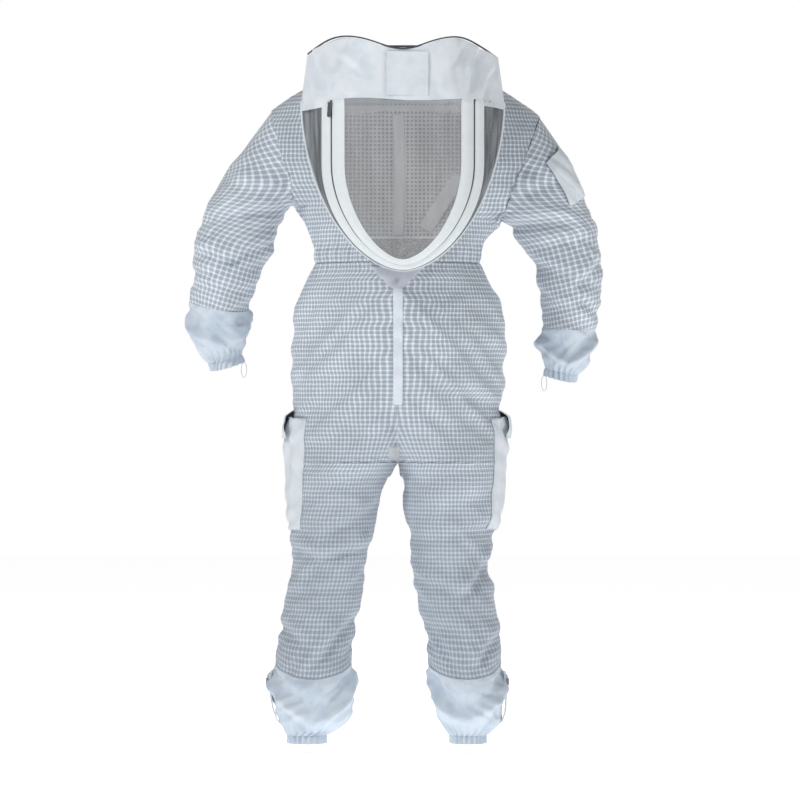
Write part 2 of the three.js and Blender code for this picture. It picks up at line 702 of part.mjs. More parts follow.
// The hood's rear walls: v = 0 along the neck, 1 at the crown seam.
const rearBandShare = 0.3;
function rearPoint(u, v) {
  const share = 2 * u - 1;
  if (v < rearBandShare) {
    const t = v / rearBandShare;
    const top = point(186 * share, hoodHingeY - 92 * Math.abs(share) ** 1.3, hoodHingeZ - 2 - 28 * Math.abs(share));
    const foot = point(hoodHalfWidth * share, hoodBackY - 26 * share ** 2, -hoodBandHeight - seamGap);
    return top.lerp(foot, t).add(point(hoodCentreX, -12 * Math.sin(Math.PI * t) * (1 - share ** 2), 0));
  }
  const t = (v - rearBandShare) / (1 - rearBandShare);
  const turn = 0.3 * Math.PI * t;
  const edge = rim(turn);
  const halfWidth = hoodCentreX - edge.x - pipingRadius - seamGap;
  const middleY = hoodBackY - 18 * t;
  const y = middleY + (edge.y + 4 - middleY) * Math.abs(share) ** 2.5;
  return point(hoodCentreX + halfWidth * share, y, edge.z);
}

function addHoodCotton() {
  addPart('hood_front_band', panel(bandPoint, towardsHood, cottonWall, 24, 4), cotton());
  const zipStrip = (u, v) => {
    const place = bandPoint(0.02 + 0.96 * u, 0);
    return place.add(point(0, 0, 2 * seamGap + 3.2 * v));
  };
  addPart('neck_zip_hood_half', panel(zipStrip, towardsHood, cottonWall - 0.2, 24, 1), darkTeeth());
  const rearWay = () => point(0, -1, 0);
  const rearBand = (u, v) => rearPoint(0.01 + 0.98 * u, rearBandShare * v * 0.999);
  addPart('hood_rear_band', panel(rearBand, rearWay, cottonWall, 18, 5), cotton());
  const rearPanel = (u, v) => rearPoint(0.003 + 0.994 * u, rearBandShare + (1 - rearBandShare) * v);
  addPart('hood_back_panel', panel(rearPanel, rearWay, meshWall, 14, 9), airMesh());
  const crownStart = (u) => rearPoint(0.04 + 0.92 * u, 1).add(point(0, 0, -cottonWall - 6 * seamGap));
  const crownEnd = (u) => {
    const place = rim(0.33 * Math.PI + 0.34 * Math.PI * u);
    place.z += pipingRadius + cottonWall;
    return place;
  };
  const crown = (u, v) => {
    const place = crownStart(u).lerp(crownEnd(u), v * 0.96);
    place.z -= 14 * Math.sin(Math.PI * v) * Math.sin(Math.PI * u);
    return place;
  };
  addPart('hood_crown', panel(crown, () => point(0, -0.35, 0.94), cottonWall, 14, 3), greyMesh());
}

function addHoodFittings() {
  const flapWidth = 84;
  const flapDrop = 88;
  const flapRightX = 51;
  const patchWall = 0.8;
  const sewn = (standOff, fromX, toX, topZ, footZ) => (u, v) => {
    const x = fromX + (toX - fromX) * u;
    const y = hoodSideY + (hoodFrontY - hoodSideY) * hoodSwell(x / hoodHalfWidth);
    return point(hoodCentreX + x, y - standOff, topZ + (footZ - topZ) * v);
  };
  const inwards = () => point(0, 1, 0);
  const patchFace = 0.9 + patchWall;
  const patchEnd = flapRightX - flapWidth + 26;
  const hook = sewn(patchFace, flapRightX - flapWidth, patchEnd, -28, -28 - flapDrop + 12);
  addPart('flap_hook_patch', panel(hook, inwards, patchWall, 2, 1), whiteTape());
  const flapFace = patchFace + cottonWall + seamGap;
  const flap = sewn(flapFace, flapRightX - flapWidth, flapRightX, -21, -21 - flapDrop);
  addPart('neck_flap', panel(flap, inwards, cottonWall, 5, 3), cotton());
  const strapWidth = 29;
  const strap = (u, v) => {
    const start = point(126, 0, -262);
    const end = point(56, 0, -372);
    const run = end.clone().sub(start).normalize();
    const place = start.lerp(end, v).add(point(-run.z, 0, run.x).multiplyScalar((u - 0.5) * strapWidth));
    place.y = strapY - 4 * Math.sin(Math.PI * v);
    return place;
  };
  addPart('head_strap', panel(strap, inwards, tapeWall, 2, 8), whiteTape());
}

// ---------------------------------------------------------------- pockets
// A pouch sewn along its sides and foot, standing off its panel towards its mouth.
function pouch(surface, outward, seat, bulge) {
  return (u, v) => {
    const place = surface(u, v);
    const swell = Math.min(1, 3.2 * Math.min(u, 1 - u)) * Math.min(1, 3 * (1 - v));
    return place.addScaledVector(outward(place), seat + cottonWall + bulge * Math.max(swell, 0));
  };
}

// A flap's distance from its panel: sewn down along its top edge, clear of the pouch below it.
function flapStandOff(seat, bulge, v) {
  const clear = seat + bulge + 2 * cottonWall + 1.6;
  return clear - (clear - seat - cottonWall) * Math.max(1 - 5 * v, 0);
}

function addThighPockets() {
  const pocketTopZ = crotchZ + 95;
  for (const leg of [left, right]) {
    const outward = (place) => point(place.x - legAxisX(leg, place.z), place.y, 0).normalize();
    const onLeg = (turn, z) => {
      let low = 0;
      let high = 1;
      for (let k = 0; k < 30; k += 1) {
        const v = (low + high) / 2;
        if (trouserPoint(leg, 1, 0, v).z > z) low = v;
        else high = v;
      }
      const full = Math.acos(-1 * Math.min((bandFootZ - z) / (bandFootZ - crotchZ), 1) ** 4);
      return trouserPoint(leg, turn < 0 ? -1 : 1, Math.abs(turn) / full, low);
    };
    const fromTurn = -0.32;
    const toTurn = 0.95;
    const face = (topZ, height) => (u, v) => onLeg(fromTurn + (toTurn - fromTurn) * u, topZ - height * v);
    const bag = pouch(face(pocketTopZ, thighPocketHeight), outward, thighPocketSeat, pocketBulge);
    const inward = (place) => outward(place).negate();
    addPart(`thigh_pocket_${leg.name}`, panel(bag, inward, cottonWall, 6, 6), cotton());
    const lidFace = face(pocketTopZ + 14, flapHeight);
    const lid = (u, v) => {
      const place = lidFace(0.02 + 0.96 * u, v);
      return place.addScaledVector(outward(place), flapStandOff(thighPocketSeat, pocketBulge, v));
    };
    addPart(`thigh_pocket_flap_${leg.name}`, panel(lid, inward, cottonWall, 6, 5), cotton());
  }
}

function addUpperPockets() {
  const half = trunkHalf(left, 1);
  const onChest = (u, v) => half(0.36 + 0.34 * u, 0.62 - 0.26 * v);
  const chestOut = (place) => towardsBody(place).negate();
  const inward = (place) => towardsBody(place);
  const bag = pouch(onChest, chestOut, chestPocketSeat, chestPocketBulge);
  addPart('chest_pocket', panel(bag, inward, cottonWall, 6, 5), cotton());
  const lid = (u, v) => {
    const place = half(0.355 + 0.35 * u, 0.65 - 0.1 * v);
    return place.addScaledVector(chestOut(place), flapStandOff(chestPocketSeat, chestPocketBulge, v));
  };
  addPart('chest_pocket_flap', panel(lid, inward, cottonWall, 6, 5), cotton());
  const rings = sleeveRings(right);
  const onSleeve = (u, v) => {
    const ring = ringAt(rings, 0.1 + 0.26 * v);
    const turn = -1.05 + 0.62 * u;
    return ring.middle.addScaledVector(ring.across, Math.cos(turn)).addScaledVector(ring.depth, Math.sin(turn));
  };
  const sleeveOut = (place) => point(place.x - 268, place.y, 0).normalize();
  const pen = pouch(onSleeve, sleeveOut, sleevePocketSeat, sleevePocketBulge);
  const penInward = (place) => sleeveOut(place).negate();
  addPart('sleeve_tool_pocket', panel(pen, penInward, cottonWall, 5, 6), cotton());
}

// ---------------------------------------------------------------- ankle zips and thumb loops
function addAnkleZips() {
  const zipWidth = 15;
  const teethWidth = 4;
  for (const leg of [left, right]) {
    const outward = (place) => cuffInward(leg)(place).negate();
    const strip = (width, standOff) => (u, v) => {
      const t = 0.1 + 0.72 * v;
      const place = anklePoint(leg, t, -0.12);
      const out = outward(place);
      const sideways = point(-out.y, out.x, 0);
      return place.addScaledVector(out, standOff).addScaledVector(sideways, (u - 0.5) * width);
    };
    const inward = cuffInward(leg);
    const tape = panel(strip(zipWidth, 0.6 + tapeWall), inward, tapeWall, 1, 10);
    addPart(`ankle_zip_tape_${leg.name}`, tape, whiteTape());
    const teeth = panel(strip(teethWidth, 0.6 + 2 * tapeWall + seamGap), inward, tapeWall, 1, 10);
    addPart(`ankle_zip_teeth_${leg.name}`, teeth, whiteTape());
    const face = strip(teethWidth, 0.6 + 2 * tapeWall + 2 * seamGap)(0.5, 0.2);
    const across = outward(face).setZ(0).normalize();
    addSlider(`ankle_zip_${leg.name}`, face, across, 9, false);
  }
}

function addThumbLoops() {
  const loopWidth = 7;
  const loopDrop = 34;
  const halfGap = 6.5;
  for (const leg of [left, right]) {
    const rings = wristRings(leg);
    const hem = rings[rings.length - 1];
    const way = hem.middle.clone().sub(rings[rings.length - 2].middle).normalize();
    const hemInner = hem.middle.clone().addScaledVector(hem.across, -leg.side * Math.sign(hem.across.x));
    const seat = hemInner.addScaledVector(way, 17.6);
    const middle = point(seat.x, hem.middle.y, seat.z - loopDrop / 2);
    const loop = (t, turn) => {
      const x = halfGap * Math.sin(turn);
      return point(middle.x + x, middle.y + (t - 0.5) * loopWidth, middle.z + (loopDrop / 2) * Math.cos(turn));
    };
    const inward = (place) => point(middle.x - place.x, 0, (middle.z - place.z) * 0.4).normalize();
    addPart(`thumb_loop_${leg.name}`, sleeveTube(loop, inward, 1.5, 1, 16), whiteTape());
  }
}

addTrunk();
addTrousers();
addAnkleCuffs();
addArms();
addCollar();
addSeatSeam();
addFrontZip();
addVeil();
addHoodCotton();
addHoodFittings();
addThighPockets();
addUpperPockets();
addAnkleZips();
addThumbLoops();

export default suit;
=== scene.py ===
import math

import bmesh
import bpy
from mathutils import Matrix, Vector, noise
from mathutils.bvhtree import BVHTree


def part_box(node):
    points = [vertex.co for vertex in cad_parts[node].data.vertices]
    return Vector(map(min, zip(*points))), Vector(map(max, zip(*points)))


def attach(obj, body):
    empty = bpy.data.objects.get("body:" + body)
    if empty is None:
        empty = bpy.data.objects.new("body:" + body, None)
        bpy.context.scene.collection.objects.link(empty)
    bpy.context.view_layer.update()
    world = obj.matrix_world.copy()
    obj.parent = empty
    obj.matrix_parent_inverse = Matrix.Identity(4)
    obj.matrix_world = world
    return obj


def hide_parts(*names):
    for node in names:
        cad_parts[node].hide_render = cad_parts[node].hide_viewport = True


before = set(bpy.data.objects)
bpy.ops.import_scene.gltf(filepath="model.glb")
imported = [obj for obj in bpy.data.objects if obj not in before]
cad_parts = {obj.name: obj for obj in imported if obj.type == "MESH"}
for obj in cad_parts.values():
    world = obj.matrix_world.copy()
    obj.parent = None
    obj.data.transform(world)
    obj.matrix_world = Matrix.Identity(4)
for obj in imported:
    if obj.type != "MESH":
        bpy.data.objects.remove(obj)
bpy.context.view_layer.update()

# ---------------------------------------------------------------- camera, light and floor
# A level camera straight behind the hung suit, a white room, and three soft lamps. The floor is pale
# and glows a little, so that it shows no edge.
VIEW_DISTANCE = 7.0
VIEW_MIDDLE_X = 0.0042
VIEW_MIDDLE_Z = -0.722
FLOOR_HEIGHT = -1.462
FLOOR_REACH = 9

camera_data = bpy.data.cameras.new("camera")
camera_data.lens = 150
camera_data.sensor_width = 36
camera = bpy.data.objects.new("camera", camera_data)
camera.location = (VIEW_MIDDLE_X, -VIEW_DISTANCE, VIEW_MIDDLE_Z)
camera.rotation_euler = (math.radians(90), 0, 0)
bpy.context.scene.collection.objects.link(camera)
bpy.context.scene.camera = camera

world = bpy.data.worlds.new("white_room")
world.use_nodes = True
room = world.node_tree
room.nodes["Background"].inputs["Color"].default_value = (1, 1, 1, 1)
room_path = room.nodes.new("ShaderNodeLightPath")
room_glow = room.nodes.new("ShaderNodeMapRange")
room_glow.inputs["To Min"].default_value = 0.25
room_glow.inputs["To Max"].default_value = 1.0
room.links.new(room_path.outputs["Is Camera Ray"], room_glow.inputs["Value"])
room.links.new(room_glow.outputs["Result"], room.nodes["Background"].inputs["Strength"])
bpy.context.scene.world = world
bpy.context.scene.view_settings.view_transform = "Standard"


def soft_lamp(name, place, target, size, power):
    lamp_data = bpy.data.lights.new(name, "AREA")
    lamp_data.shape = "SQUARE"
    lamp_data.size = size
    lamp_data.energy = power
    lamp = bpy.data.objects.new(name, lamp_data)
    lamp.location = place
    lamp.rotation_euler = (Vector(target) - Vector(place)).to_track_quat("-Z", "Y").to_euler()
    bpy.context.scene.collection.objects.link(lamp)


soft_lamp("key_lamp", (-2.0, -2.2, 1.5), (0, 0, -0.35), 0.6, 44)
soft_lamp("fill_lamp", (2.6, -2.4, 0.2), (0, 0, -0.6), 1.8, 21)
soft_lamp("back_lamp", (0.8, 2.8, 0.9), (0, 0, -0.7), 1.6, 32)


def new_piece(name, mesh, material):
    data = bpy.data.meshes.new(name)
    mesh.to_mesh(data)
    mesh.free()
    data.materials.append(material)
    piece = bpy.data.objects.new(name, data)
    bpy.context.scene.collection.objects.link(piece)
    return piece


floor_paint = bpy.data.materials.new("floor_paint")
floor_paint.use_nodes = True
floor_tree = floor_paint.node_tree
floor_shader = floor_tree.nodes["Principled BSDF"]
floor_shader.inputs["Roughness"].default_value = 0.9
floor_shader.inputs["Emission Color"].default_value = (1, 1, 1, 1)
floor_shader.inputs["Emission Strength"].default_value = 0.74
floor_grain = floor_tree.nodes.new("ShaderNodeTexNoise")
floor_grain.inputs["Scale"].default_value = 3
floor_tone = floor_tree.nodes.new("ShaderNodeMix")
floor_tone.data_type = "RGBA"
floor_tone.inputs["A"].default_value = (0.93, 0.93, 0.93, 1)
floor_tone.inputs["B"].default_value = (0.96, 0.96, 0.96, 1)
floor_tree.links.new(floor_grain.outputs["Fac"], floor_tone.inputs["Factor"])
floor_tree.links.new(floor_tone.outputs["Result"], floor_shader.inputs["Base Color"])
floor_mesh = bmesh.new()
bmesh.ops.create_grid(floor_mesh, x_segments=1, y_segments=1, size=FLOOR_REACH)
bmesh.ops.translate(floor_mesh, verts=floor_mesh.verts, vec=(0, 0, FLOOR_HEIGHT))
floor = new_piece("floor", floor_mesh, floor_paint)


# ---------------------------------------------------------------- back, chest and waist
# The upper suit is one wide back and two fronts in three-layer open mesh, sewn at the sides.
# Elastic in a casing gathers the waist, and the cloth stands in small upright folds above and below it.
def linear(red, green, blue):
    """A colour for a shader from its everyday 0 to 255 values."""
    return tuple(((c / 255 + 0.055) / 1.055) ** 2.4 for c in (red, green, blue)) + (1,)


def maths(tree, operation, first, second=None, third=None):
    node = tree.nodes.new("ShaderNodeMath")
    node.operation = operation
    for socket, value in zip(node.inputs, (first, second, third)):
        if value is None:
            continue
        if isinstance(value, (int, float)):
            socket.default_value = value
        else:
            tree.links.new(value, socket)
    return node.outputs[0]


def ramp(tree, value, low, high, start=0.0, end=1.0):
    node = tree.nodes.new("ShaderNodeMapRange")
    node.interpolation_type = "SMOOTHSTEP"
    tree.links.new(value, node.inputs["Value"])
    for socket, number in zip(node.inputs[1:5], (low, high, start, end)):
        if isinstance(number, (int, float)):
            socket.default_value = number
        else:
            tree.links.new(number, socket)
    return node.outputs["Result"]


def blend_colours(tree, share, first, second, way="MIX"):
    node = tree.nodes.new("ShaderNodeMix")
    node.data_type = "RGBA"
    node.blend_type = way
    for socket, value in ((node.inputs[0], share), (node.inputs[6], first), (node.inputs[7], second)):
        if isinstance(value, (int, float, tuple)):
            socket.default_value = value
        else:
            tree.links.new(value, socket)
    return node.outputs[2]


def speckle(tree, vector, scale, detail=2.0):
    node = tree.nodes.new("ShaderNodeTexNoise")
    node.inputs["Scale"].default_value = scale
    node.inputs["Detail"].default_value = detail
    tree.links.new(vector, node.inputs["Vector"])
    return node.outputs["Fac"]


def effect(name, inputs, outputs):
    group = bpy.data.node_groups.new(name, "ShaderNodeTree")
    for label, kind, value in inputs:
        socket = group.interface.new_socket(name=label, in_out="INPUT", socket_type=kind)
        if value is not None:
            socket.default_value = value
    for label, kind in outputs:
        group.interface.new_socket(name=label, in_out="OUTPUT", socket_type=kind)
    return group, group.nodes.new("NodeGroupInput"), group.nodes.new("NodeGroupOutput")


NUMBER, COLOUR, VECTOR = "NodeSocketFloat", "NodeSocketColor", "NodeSocketVector"


def make_open_mesh():
    group, given, made = effect(
        "open_mesh",
        [("Cloth", VECTOR, None), ("Place", VECTOR, None), ("Pitch", NUMBER, 0.009),
         ("Thread", COLOUR, (1, 1, 1, 1)), ("Shaded hollow", COLOUR, (0.4, 0.4, 0.4, 1)),
         ("Thread share", NUMBER, 0.5)],
        [("Colour", COLOUR), ("Height", NUMBER), ("Cover", NUMBER)],
    )
    split = group.nodes.new("ShaderNodeSeparateXYZ")
    group.links.new(given.outputs["Cloth"], split.inputs[0])
    stray = speckle(group, given.outputs["Place"], 55)
    sides = []
    for axis in ("X", "Y"):
        across = maths(group, "DIVIDE", split.outputs[axis], given.outputs["Pitch"])
        across = maths(group, "MULTIPLY_ADD", stray, 0.22, across)
        cell = maths(group, "FRACT", across)
        edge = maths(group, "MULTIPLY", maths(group, "ABSOLUTE", maths(group, "SUBTRACT", cell, 0.5)), 2)
        low = maths(group, "SUBTRACT", 0.86, given.outputs["Thread share"])
        high = maths(group, "SUBTRACT", 1.16, given.outputs["Thread share"])
        sides.append(ramp(group, edge, low, high))
    cover = maths(group, "MAXIMUM", sides[0], sides[1])
    cross = maths(group, "MULTIPLY", sides[0], sides[1])
    tangle = speckle(group, given.outputs["Place"], 900, 3)
    patch = speckle(group, given.outputs["Place"], 14)
    cover_here = maths(group, "MULTIPLY", cover, ramp(group, tangle, 0.2, 0.62, 0.72, 1.0))
    # the holes show the inner layer under the net, darkened by painted shade as if sunk in shadow
    base = blend_colours(group, cover_here, given.outputs["Shaded hollow"], given.outputs["Thread"])
    # painted highlight: the knots where threads cross are lightened towards white, as if catching the light
    base = blend_colours(group, maths(group, "MULTIPLY", cross, 0.9), base, (0.93, 0.97, 1.0, 1))
    shade = ramp(group, patch, 0.3, 0.7, 0.9, 1.03)
    tone = group.nodes.new("ShaderNodeCombineColor")
    for socket in tone.inputs:
        group.links.new(shade, socket)
    base = blend_colours(group, 1.0, base, tone.outputs[0], "MULTIPLY")
    height = maths(group, "ADD", cover, maths(group, "MULTIPLY", cross, 0.5))
    height = maths(group, "MULTIPLY_ADD", tangle, 0.35, height)
    group.links.new(base, made.inputs["Colour"])
    group.links.new(height, made.inputs["Height"])
    group.links.new(cover, made.inputs["Cover"])
    return group


open_mesh = make_open_mesh()


def start_material(name, roughness, sheen=0.0, metal=0.0):
    material = bpy.data.materials.new(name)
    material.use_nodes = True
    tree = material.node_tree
    shader = tree.nodes["Principled BSDF"]
    shader.inputs["Roughness"].default_value = roughness
    shader.inputs["Metallic"].default_value = metal
    if sheen:
        shader.inputs["Sheen Weight"].default_value = sheen
        shader.inputs["Sheen Roughness"].default_value = 0.6
    places = tree.nodes.new("ShaderNodeTexCoord")
    return material, tree, shader, places


def add_bump(tree, shader, height, strength, distance):
    bump = tree.nodes.new("ShaderNodeBump")
    bump.inputs["Strength"].default_value = strength
    bump.inputs["Distance"].default_value = distance
    tree.links.new(height, bump.inputs["Height"])
    tree.links.new(bump.outputs["Normal"], shader.inputs["Normal"])


def place_effect(tree, group, places, settings):
    node = tree.nodes.new("ShaderNodeGroup")
    node.node_tree = group
    if "Cloth" in node.inputs:
        tree.links.new(places.outputs["UV"], node.inputs["Cloth"])
    tree.links.new(places.outputs["Object"], node.inputs["Place"])
    for label, value in settings.items():
        node.inputs[label].default_value = value
    return node


# painted shade: a blue-grey that darkens the mesh cloth lower down, towards the legs, where less light
# reaches
LEG_SHADE = linear(120, 134, 152)
LEG_SHADE_SHARE = 0.38
SHADED_BELOW = -1.15
UNSHADED_ABOVE = -0.55


def woven_cloth(name, roughness, sheen, group, settings, strength, distance):
    material, tree, shader, places = start_material(name, roughness, sheen)
    weave = place_effect(tree, group, places, settings)
    tree.links.new(weave.outputs["Colour"], shader.inputs["Base Color"])
    add_bump(tree, shader, weave.outputs["Height"], strength, distance)
    return material, tree, shader, places, weave


def mesh_cloth(name, pitch, thread, shaded_hollow, share=0.5, bump=0.0012):
    """Open mesh cloth of one pitch, in metres, darkened towards the legs by painted shade."""
    settings = {"Pitch": pitch, "Thread": thread, "Shaded hollow": shaded_hollow, "Thread share": share}
    material, tree, shader, places, weave = woven_cloth(name, 0.85, 0.25, open_mesh, settings, 0.7, bump)
    height = tree.nodes.new("ShaderNodeSeparateXYZ")
    tree.links.new(places.outputs["Object"], height.inputs[0])
    # painted shade: nothing above the seat, growing to its full share low on the legs
    leg_shade_share = ramp(tree, height.outputs["Z"], SHADED_BELOW, UNSHADED_ABOVE, LEG_SHADE_SHARE, 0.0)
    leg_shaded = blend_colours(tree, leg_shade_share, weave.outputs["Colour"], LEG_SHADE)
    tree.links.new(leg_shaded, shader.inputs["Base Color"])
    return material


white_mesh = mesh_cloth("white_open_mesh", 0.0092, linear(204, 213, 223), linear(163, 174, 188), 0.40)
sleeve_mesh = mesh_cloth("sleeve_open_mesh", 0.0105, linear(208, 217, 227), linear(165, 176, 190), 0.38)


class Girth:
    """The middle and half sizes of a tube of panels at each height, measured from their nodes."""

    def __init__(self, names, step=0.02):
        points = [v.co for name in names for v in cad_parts[name].data.vertices]
        low = min(p.z for p in points)
        high = max(p.z for p in points)
        self.step = step
        self.low = low
        self.rows = []
        for k in range(int((high - low) / step) + 2):
            level = low + k * step
            reach = step
            near = [p for p in points if abs(p.z - level) < reach]
            while len(near) < 8:
                reach += step
                near = [p for p in points if abs(p.z - level) < reach]
            wide = [min(p.x for p in near), max(p.x for p in near)]
            deep = [min(p.y for p in near), max(p.y for p in near)]
            half_wide = (wide[1] - wide[0]) / 2
            half_deep = (deep[1] - deep[0]) / 2
            self.rows.append((sum(wide) / 2, sum(deep) / 2, half_wide, half_deep))

    def at(self, z):
        share = min(max((z - self.low) / self.step, 0), len(self.rows) - 1.001)
        k = int(share)
        t = share - k
        return [a + (b - a) * t for a, b in zip(self.rows[k], self.rows[k + 1])]

    def unroll(self, place):
        middle_x, middle_y, wide, deep = self.at(place.z)
        turn = math.atan2((place.x - middle_x) / wide, -(place.y - middle_y) / deep)
        return ((wide + deep) / 2 * turn, -place.z)


def ease(value, low, high):
    t = min(max((value - low) / (high - low), 0), 1)
    return t * t * (3 - 2 * t)


def hill(value, middle, reach):
    return math.exp(-(((value - middle) / reach) ** 2))


def wander(place, size, seed):
    return noise.noise(Vector((place.x / size[0] + seed, place.y / size[1], place.z / size[2])))


def crinkle(value, sharpness=0.35):
    # turns smooth swings into narrow ridges between wide hollows, as creased cloth has
    return math.copysign(abs(value) ** (1 - sharpness), value)


LEG_AXES = {-1: Girth(["trouser_back_left", "trouser_front_left"]),
            1: Girth(["trouser_back_right", "trouser_front_right"])}
TRUNK = Girth(["upper_back", "chest_left", "chest_right"])
CROTCH = -0.853
WAIST = -0.422
WAIST_HALF_WIDTH = 0.173
WAIST_HALF_DEPTH = 0.105
WAIST_FOLDS = 34
KNEE = -1.06
SHIN = -1.23


def outward_way(place):
    below = ease(place.z, CROTCH + 0.002, CROTCH - 0.06)
    body = Vector((place.x, place.y, 0))
    body = body.normalized() if body.length > 1e-6 else Vector((0, -1, 0))
    if below <= 0:
        return body
    middle = LEG_AXES[-1 if place.x < 0 else 1].at(place.z)
    leg = Vector((place.x - middle[0], place.y - middle[1], 0)).normalized()
    return body.lerp(leg, below).normalized()


def waist_gather(place):
    near = hill(place.z, WAIST, 0.034)
    turn = math.atan2(place.x / WAIST_HALF_WIDTH, -place.y / WAIST_HALF_DEPTH)
    drift = 2.2 * wander(place, (0.09, 0.09, 0.05), 3.1)
    return near * 0.0030 * math.sin(WAIST_FOLDS * turn + drift)


def crease(place, line):
    """A cloth break along a line on the back: a roll above it and a sharp hollow under the roll."""
    x1, z1, x2, z2, width, depth = line
    run_x, run_z = x2 - x1, z2 - z1
    length = math.hypot(run_x, run_z)
    share = ((place.x - x1) * run_x + (place.z - z1) * run_z) / length ** 2
    if not -0.3 < share < 1.3:
        return 0.0
    side = 1 if run_x >= 0 else -1
    above = side * ((place.z - z1) * run_x - (place.x - x1) * run_z) / length / width
    ends = ease(share, -0.3, 0.25) * ease(share, 1.3, 0.75)
    return depth * ends * (0.8 * hill(above, 1.5, 1.2) - hill(above, 0, 0.8))


# each crease runs from (x, z) to (x, z), and has a width and a depth
LEG_CREASES = [
    (-0.226, -1.034, -0.164, -1.053, 0.013, 0.010), (-0.164, -1.053, -0.062, -1.030, 0.012, 0.007),
    (-0.190, -1.100, -0.160, -1.060, 0.014, 0.006), (-0.150, -1.008, -0.050, -0.950, 0.016, 0.007),
    (-0.230, -1.128, -0.120, -1.112, 0.013, 0.005), (-0.176, -1.262, -0.080, -1.172, 0.014, 0.007),
    (-0.252, -1.196, -0.190, -1.225, 0.013, 0.006), (-0.150, -0.900, -0.030, -0.870, 0.018, 0.006),
    (0.144, -1.126, 0.204, -1.050, 0.014, 0.011), (0.040, -1.098, 0.140, -1.132, 0.014, 0.008),
    (0.014, -0.874, 0.130, -0.868, 0.016, 0.006), (0.041, -1.016, 0.178, -0.994, 0.015, 0.006),
    (0.165, -1.256, 0.214, -1.210, 0.012, 0.008), (0.060, -1.190, 0.150, -1.215, 0.015, 0.005),
    (0.070, -0.950, 0.200, -0.920, 0.018, 0.005), (-0.060, -0.800, -0.016, -0.775, 0.014, 0.006),
    (-0.004, -0.775, 0.060, -0.805, 0.014, 0.006), (0.090, -0.700, 0.226, -0.742, 0.016, 0.007),
]


def body_folds(place):
    """How far the cloth of the body and legs stands in or out at a place, in metres."""
    swing = 0.0050 * crinkle(wander(place, (0.13, 0.13, 0.07), 1.7))
    for line in LEG_CREASES:
        swing += crease(place, line) * (0.6 + 0.4 * ease(place.y, 0.03, -0.03))
    swing += 0.0024 * crinkle(wander(place, (0.05, 0.05, 0.028), 8.4))
    slope = Vector((place.x, place.y, place.z + 1.1 * abs(place.x)))
    seat = ease(place.z, -0.44, -0.56) * ease(place.z, -0.9, -0.76)
    swing += 0.0056 * seat * crinkle(wander(slope, (0.16, 0.2, 0.032), 5.5))
    knee = hill(place.z, KNEE, 0.13)
    swing += 0.0048 * knee * crinkle(wander(slope, (0.13, 0.16, 0.026), 12.6))
    shin = hill(place.z, SHIN, 0.07)
    swing += 0.0046 * shin * crinkle(wander(slope, (0.1, 0.12, 0.022), 21.2))
    zip_calm = 1 - ease(place.y, 0.06, 0.09) * ease(abs(place.x), 0.045, 0.018)
    fork = hill(place.x + 0.010 + 0.25 * (place.z + 0.79), 0, 0.007) * ease(place.y, -0.05, -0.09)
    fork *= ease(place.z, -0.752, -0.775) * ease(place.z, -0.850, -0.822)
    swing = swing * zip_calm - 0.0075 * fork
    return swing + waist_gather(place) * zip_calm


CUFF_SEAM = -1.275


def seam_dip(place):
    """The cuff seam hangs lower in the middle of the calf than at the sides."""
    axis = LEG_AXES[-1 if place.x < 0 else 1].at(CUFF_SEAM)
    turn = math.atan2(place.x - axis[0], -(place.y - axis[1]))
    back = max(math.cos(turn), 0) ** 1.4
    return -0.027 * back * hill(place.z, CUFF_SEAM, 0.055)


def body_move(place):
    dip = seam_dip(place) if place.z < -1.08 else 0
    return place + outward_way(place) * body_folds(place) + Vector((0, 0, dip))


def seam_rims(mesh):
    """Keeps the edges where a panel's wide faces meet its rim sharp while it is rounded."""
    layers = mesh.edges.layers.float
    sharpness = layers.get("crease_edge") or layers.new("crease_edge")
    for edge in mesh.edges:
        if len(edge.link_faces) == 2 and edge.calc_face_angle() > math.radians(48):
            edge[sharpness] = 1.0
            edge.smooth = False


def sewn_piece(name, node, levels, move, unroll, material, body):
    """A cloth piece in a CAD node's place: its facets are rounded, then its folds are pushed in."""
    mesh = bmesh.new()
    mesh.from_mesh(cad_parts[node].data)
    bmesh.ops.remove_doubles(mesh, verts=mesh.verts, dist=1e-5)
    bmesh.ops.join_triangles(mesh, faces=mesh.faces, angle_face_threshold=math.radians(50),
                             angle_shape_threshold=math.radians(60))
    seam_rims(mesh)
    for face in mesh.faces:
        face.smooth = True
    piece = new_piece(name, mesh, material)
    rough = piece.data
    rounding = piece.modifiers.new("rounding", "SUBSURF")
    rounding.levels = levels
    rounding.render_levels = levels
    bpy.context.view_layer.update()
    rounded = piece.evaluated_get(bpy.context.evaluated_depsgraph_get())
    smooth = bpy.data.meshes.new_from_object(rounded)
    piece.modifiers.clear()
    piece.data = smooth
    bpy.data.meshes.remove(rough)
    smooth.name = name
    for layer in list(smooth.uv_layers):
        smooth.uv_layers.remove(layer)
    flat = smooth.uv_layers.new(name="cloth")
    spots = [unroll(v.co) for v in smooth.vertices]
    for face in smooth.polygons:
        turns = [spots[smooth.loops[k].vertex_index] for k in face.loop_indices]
        first = turns[0][0]
        for k, spot in zip(face.loop_indices, turns):
            wrapped = abs(spot[0] - first) > 0.2
            flat.data[k].uv = (first if wrapped else spot[0], spot[1])
    for vertex in smooth.vertices:
        vertex.co = move(vertex.co.copy())
    smooth.materials.clear()
    smooth.materials.append(material)
    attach(piece, body)
    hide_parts(node)
    return piece


def trunk_unroll(place):
    middle_y, deep = TRUNK.at(place.z)[1::2]
    side = math.copysign(1, place.x)
    round_the_side = deep - abs(place.y - middle_y)
    return (place.x + 0.7 * side * round_the_side, -place.z)


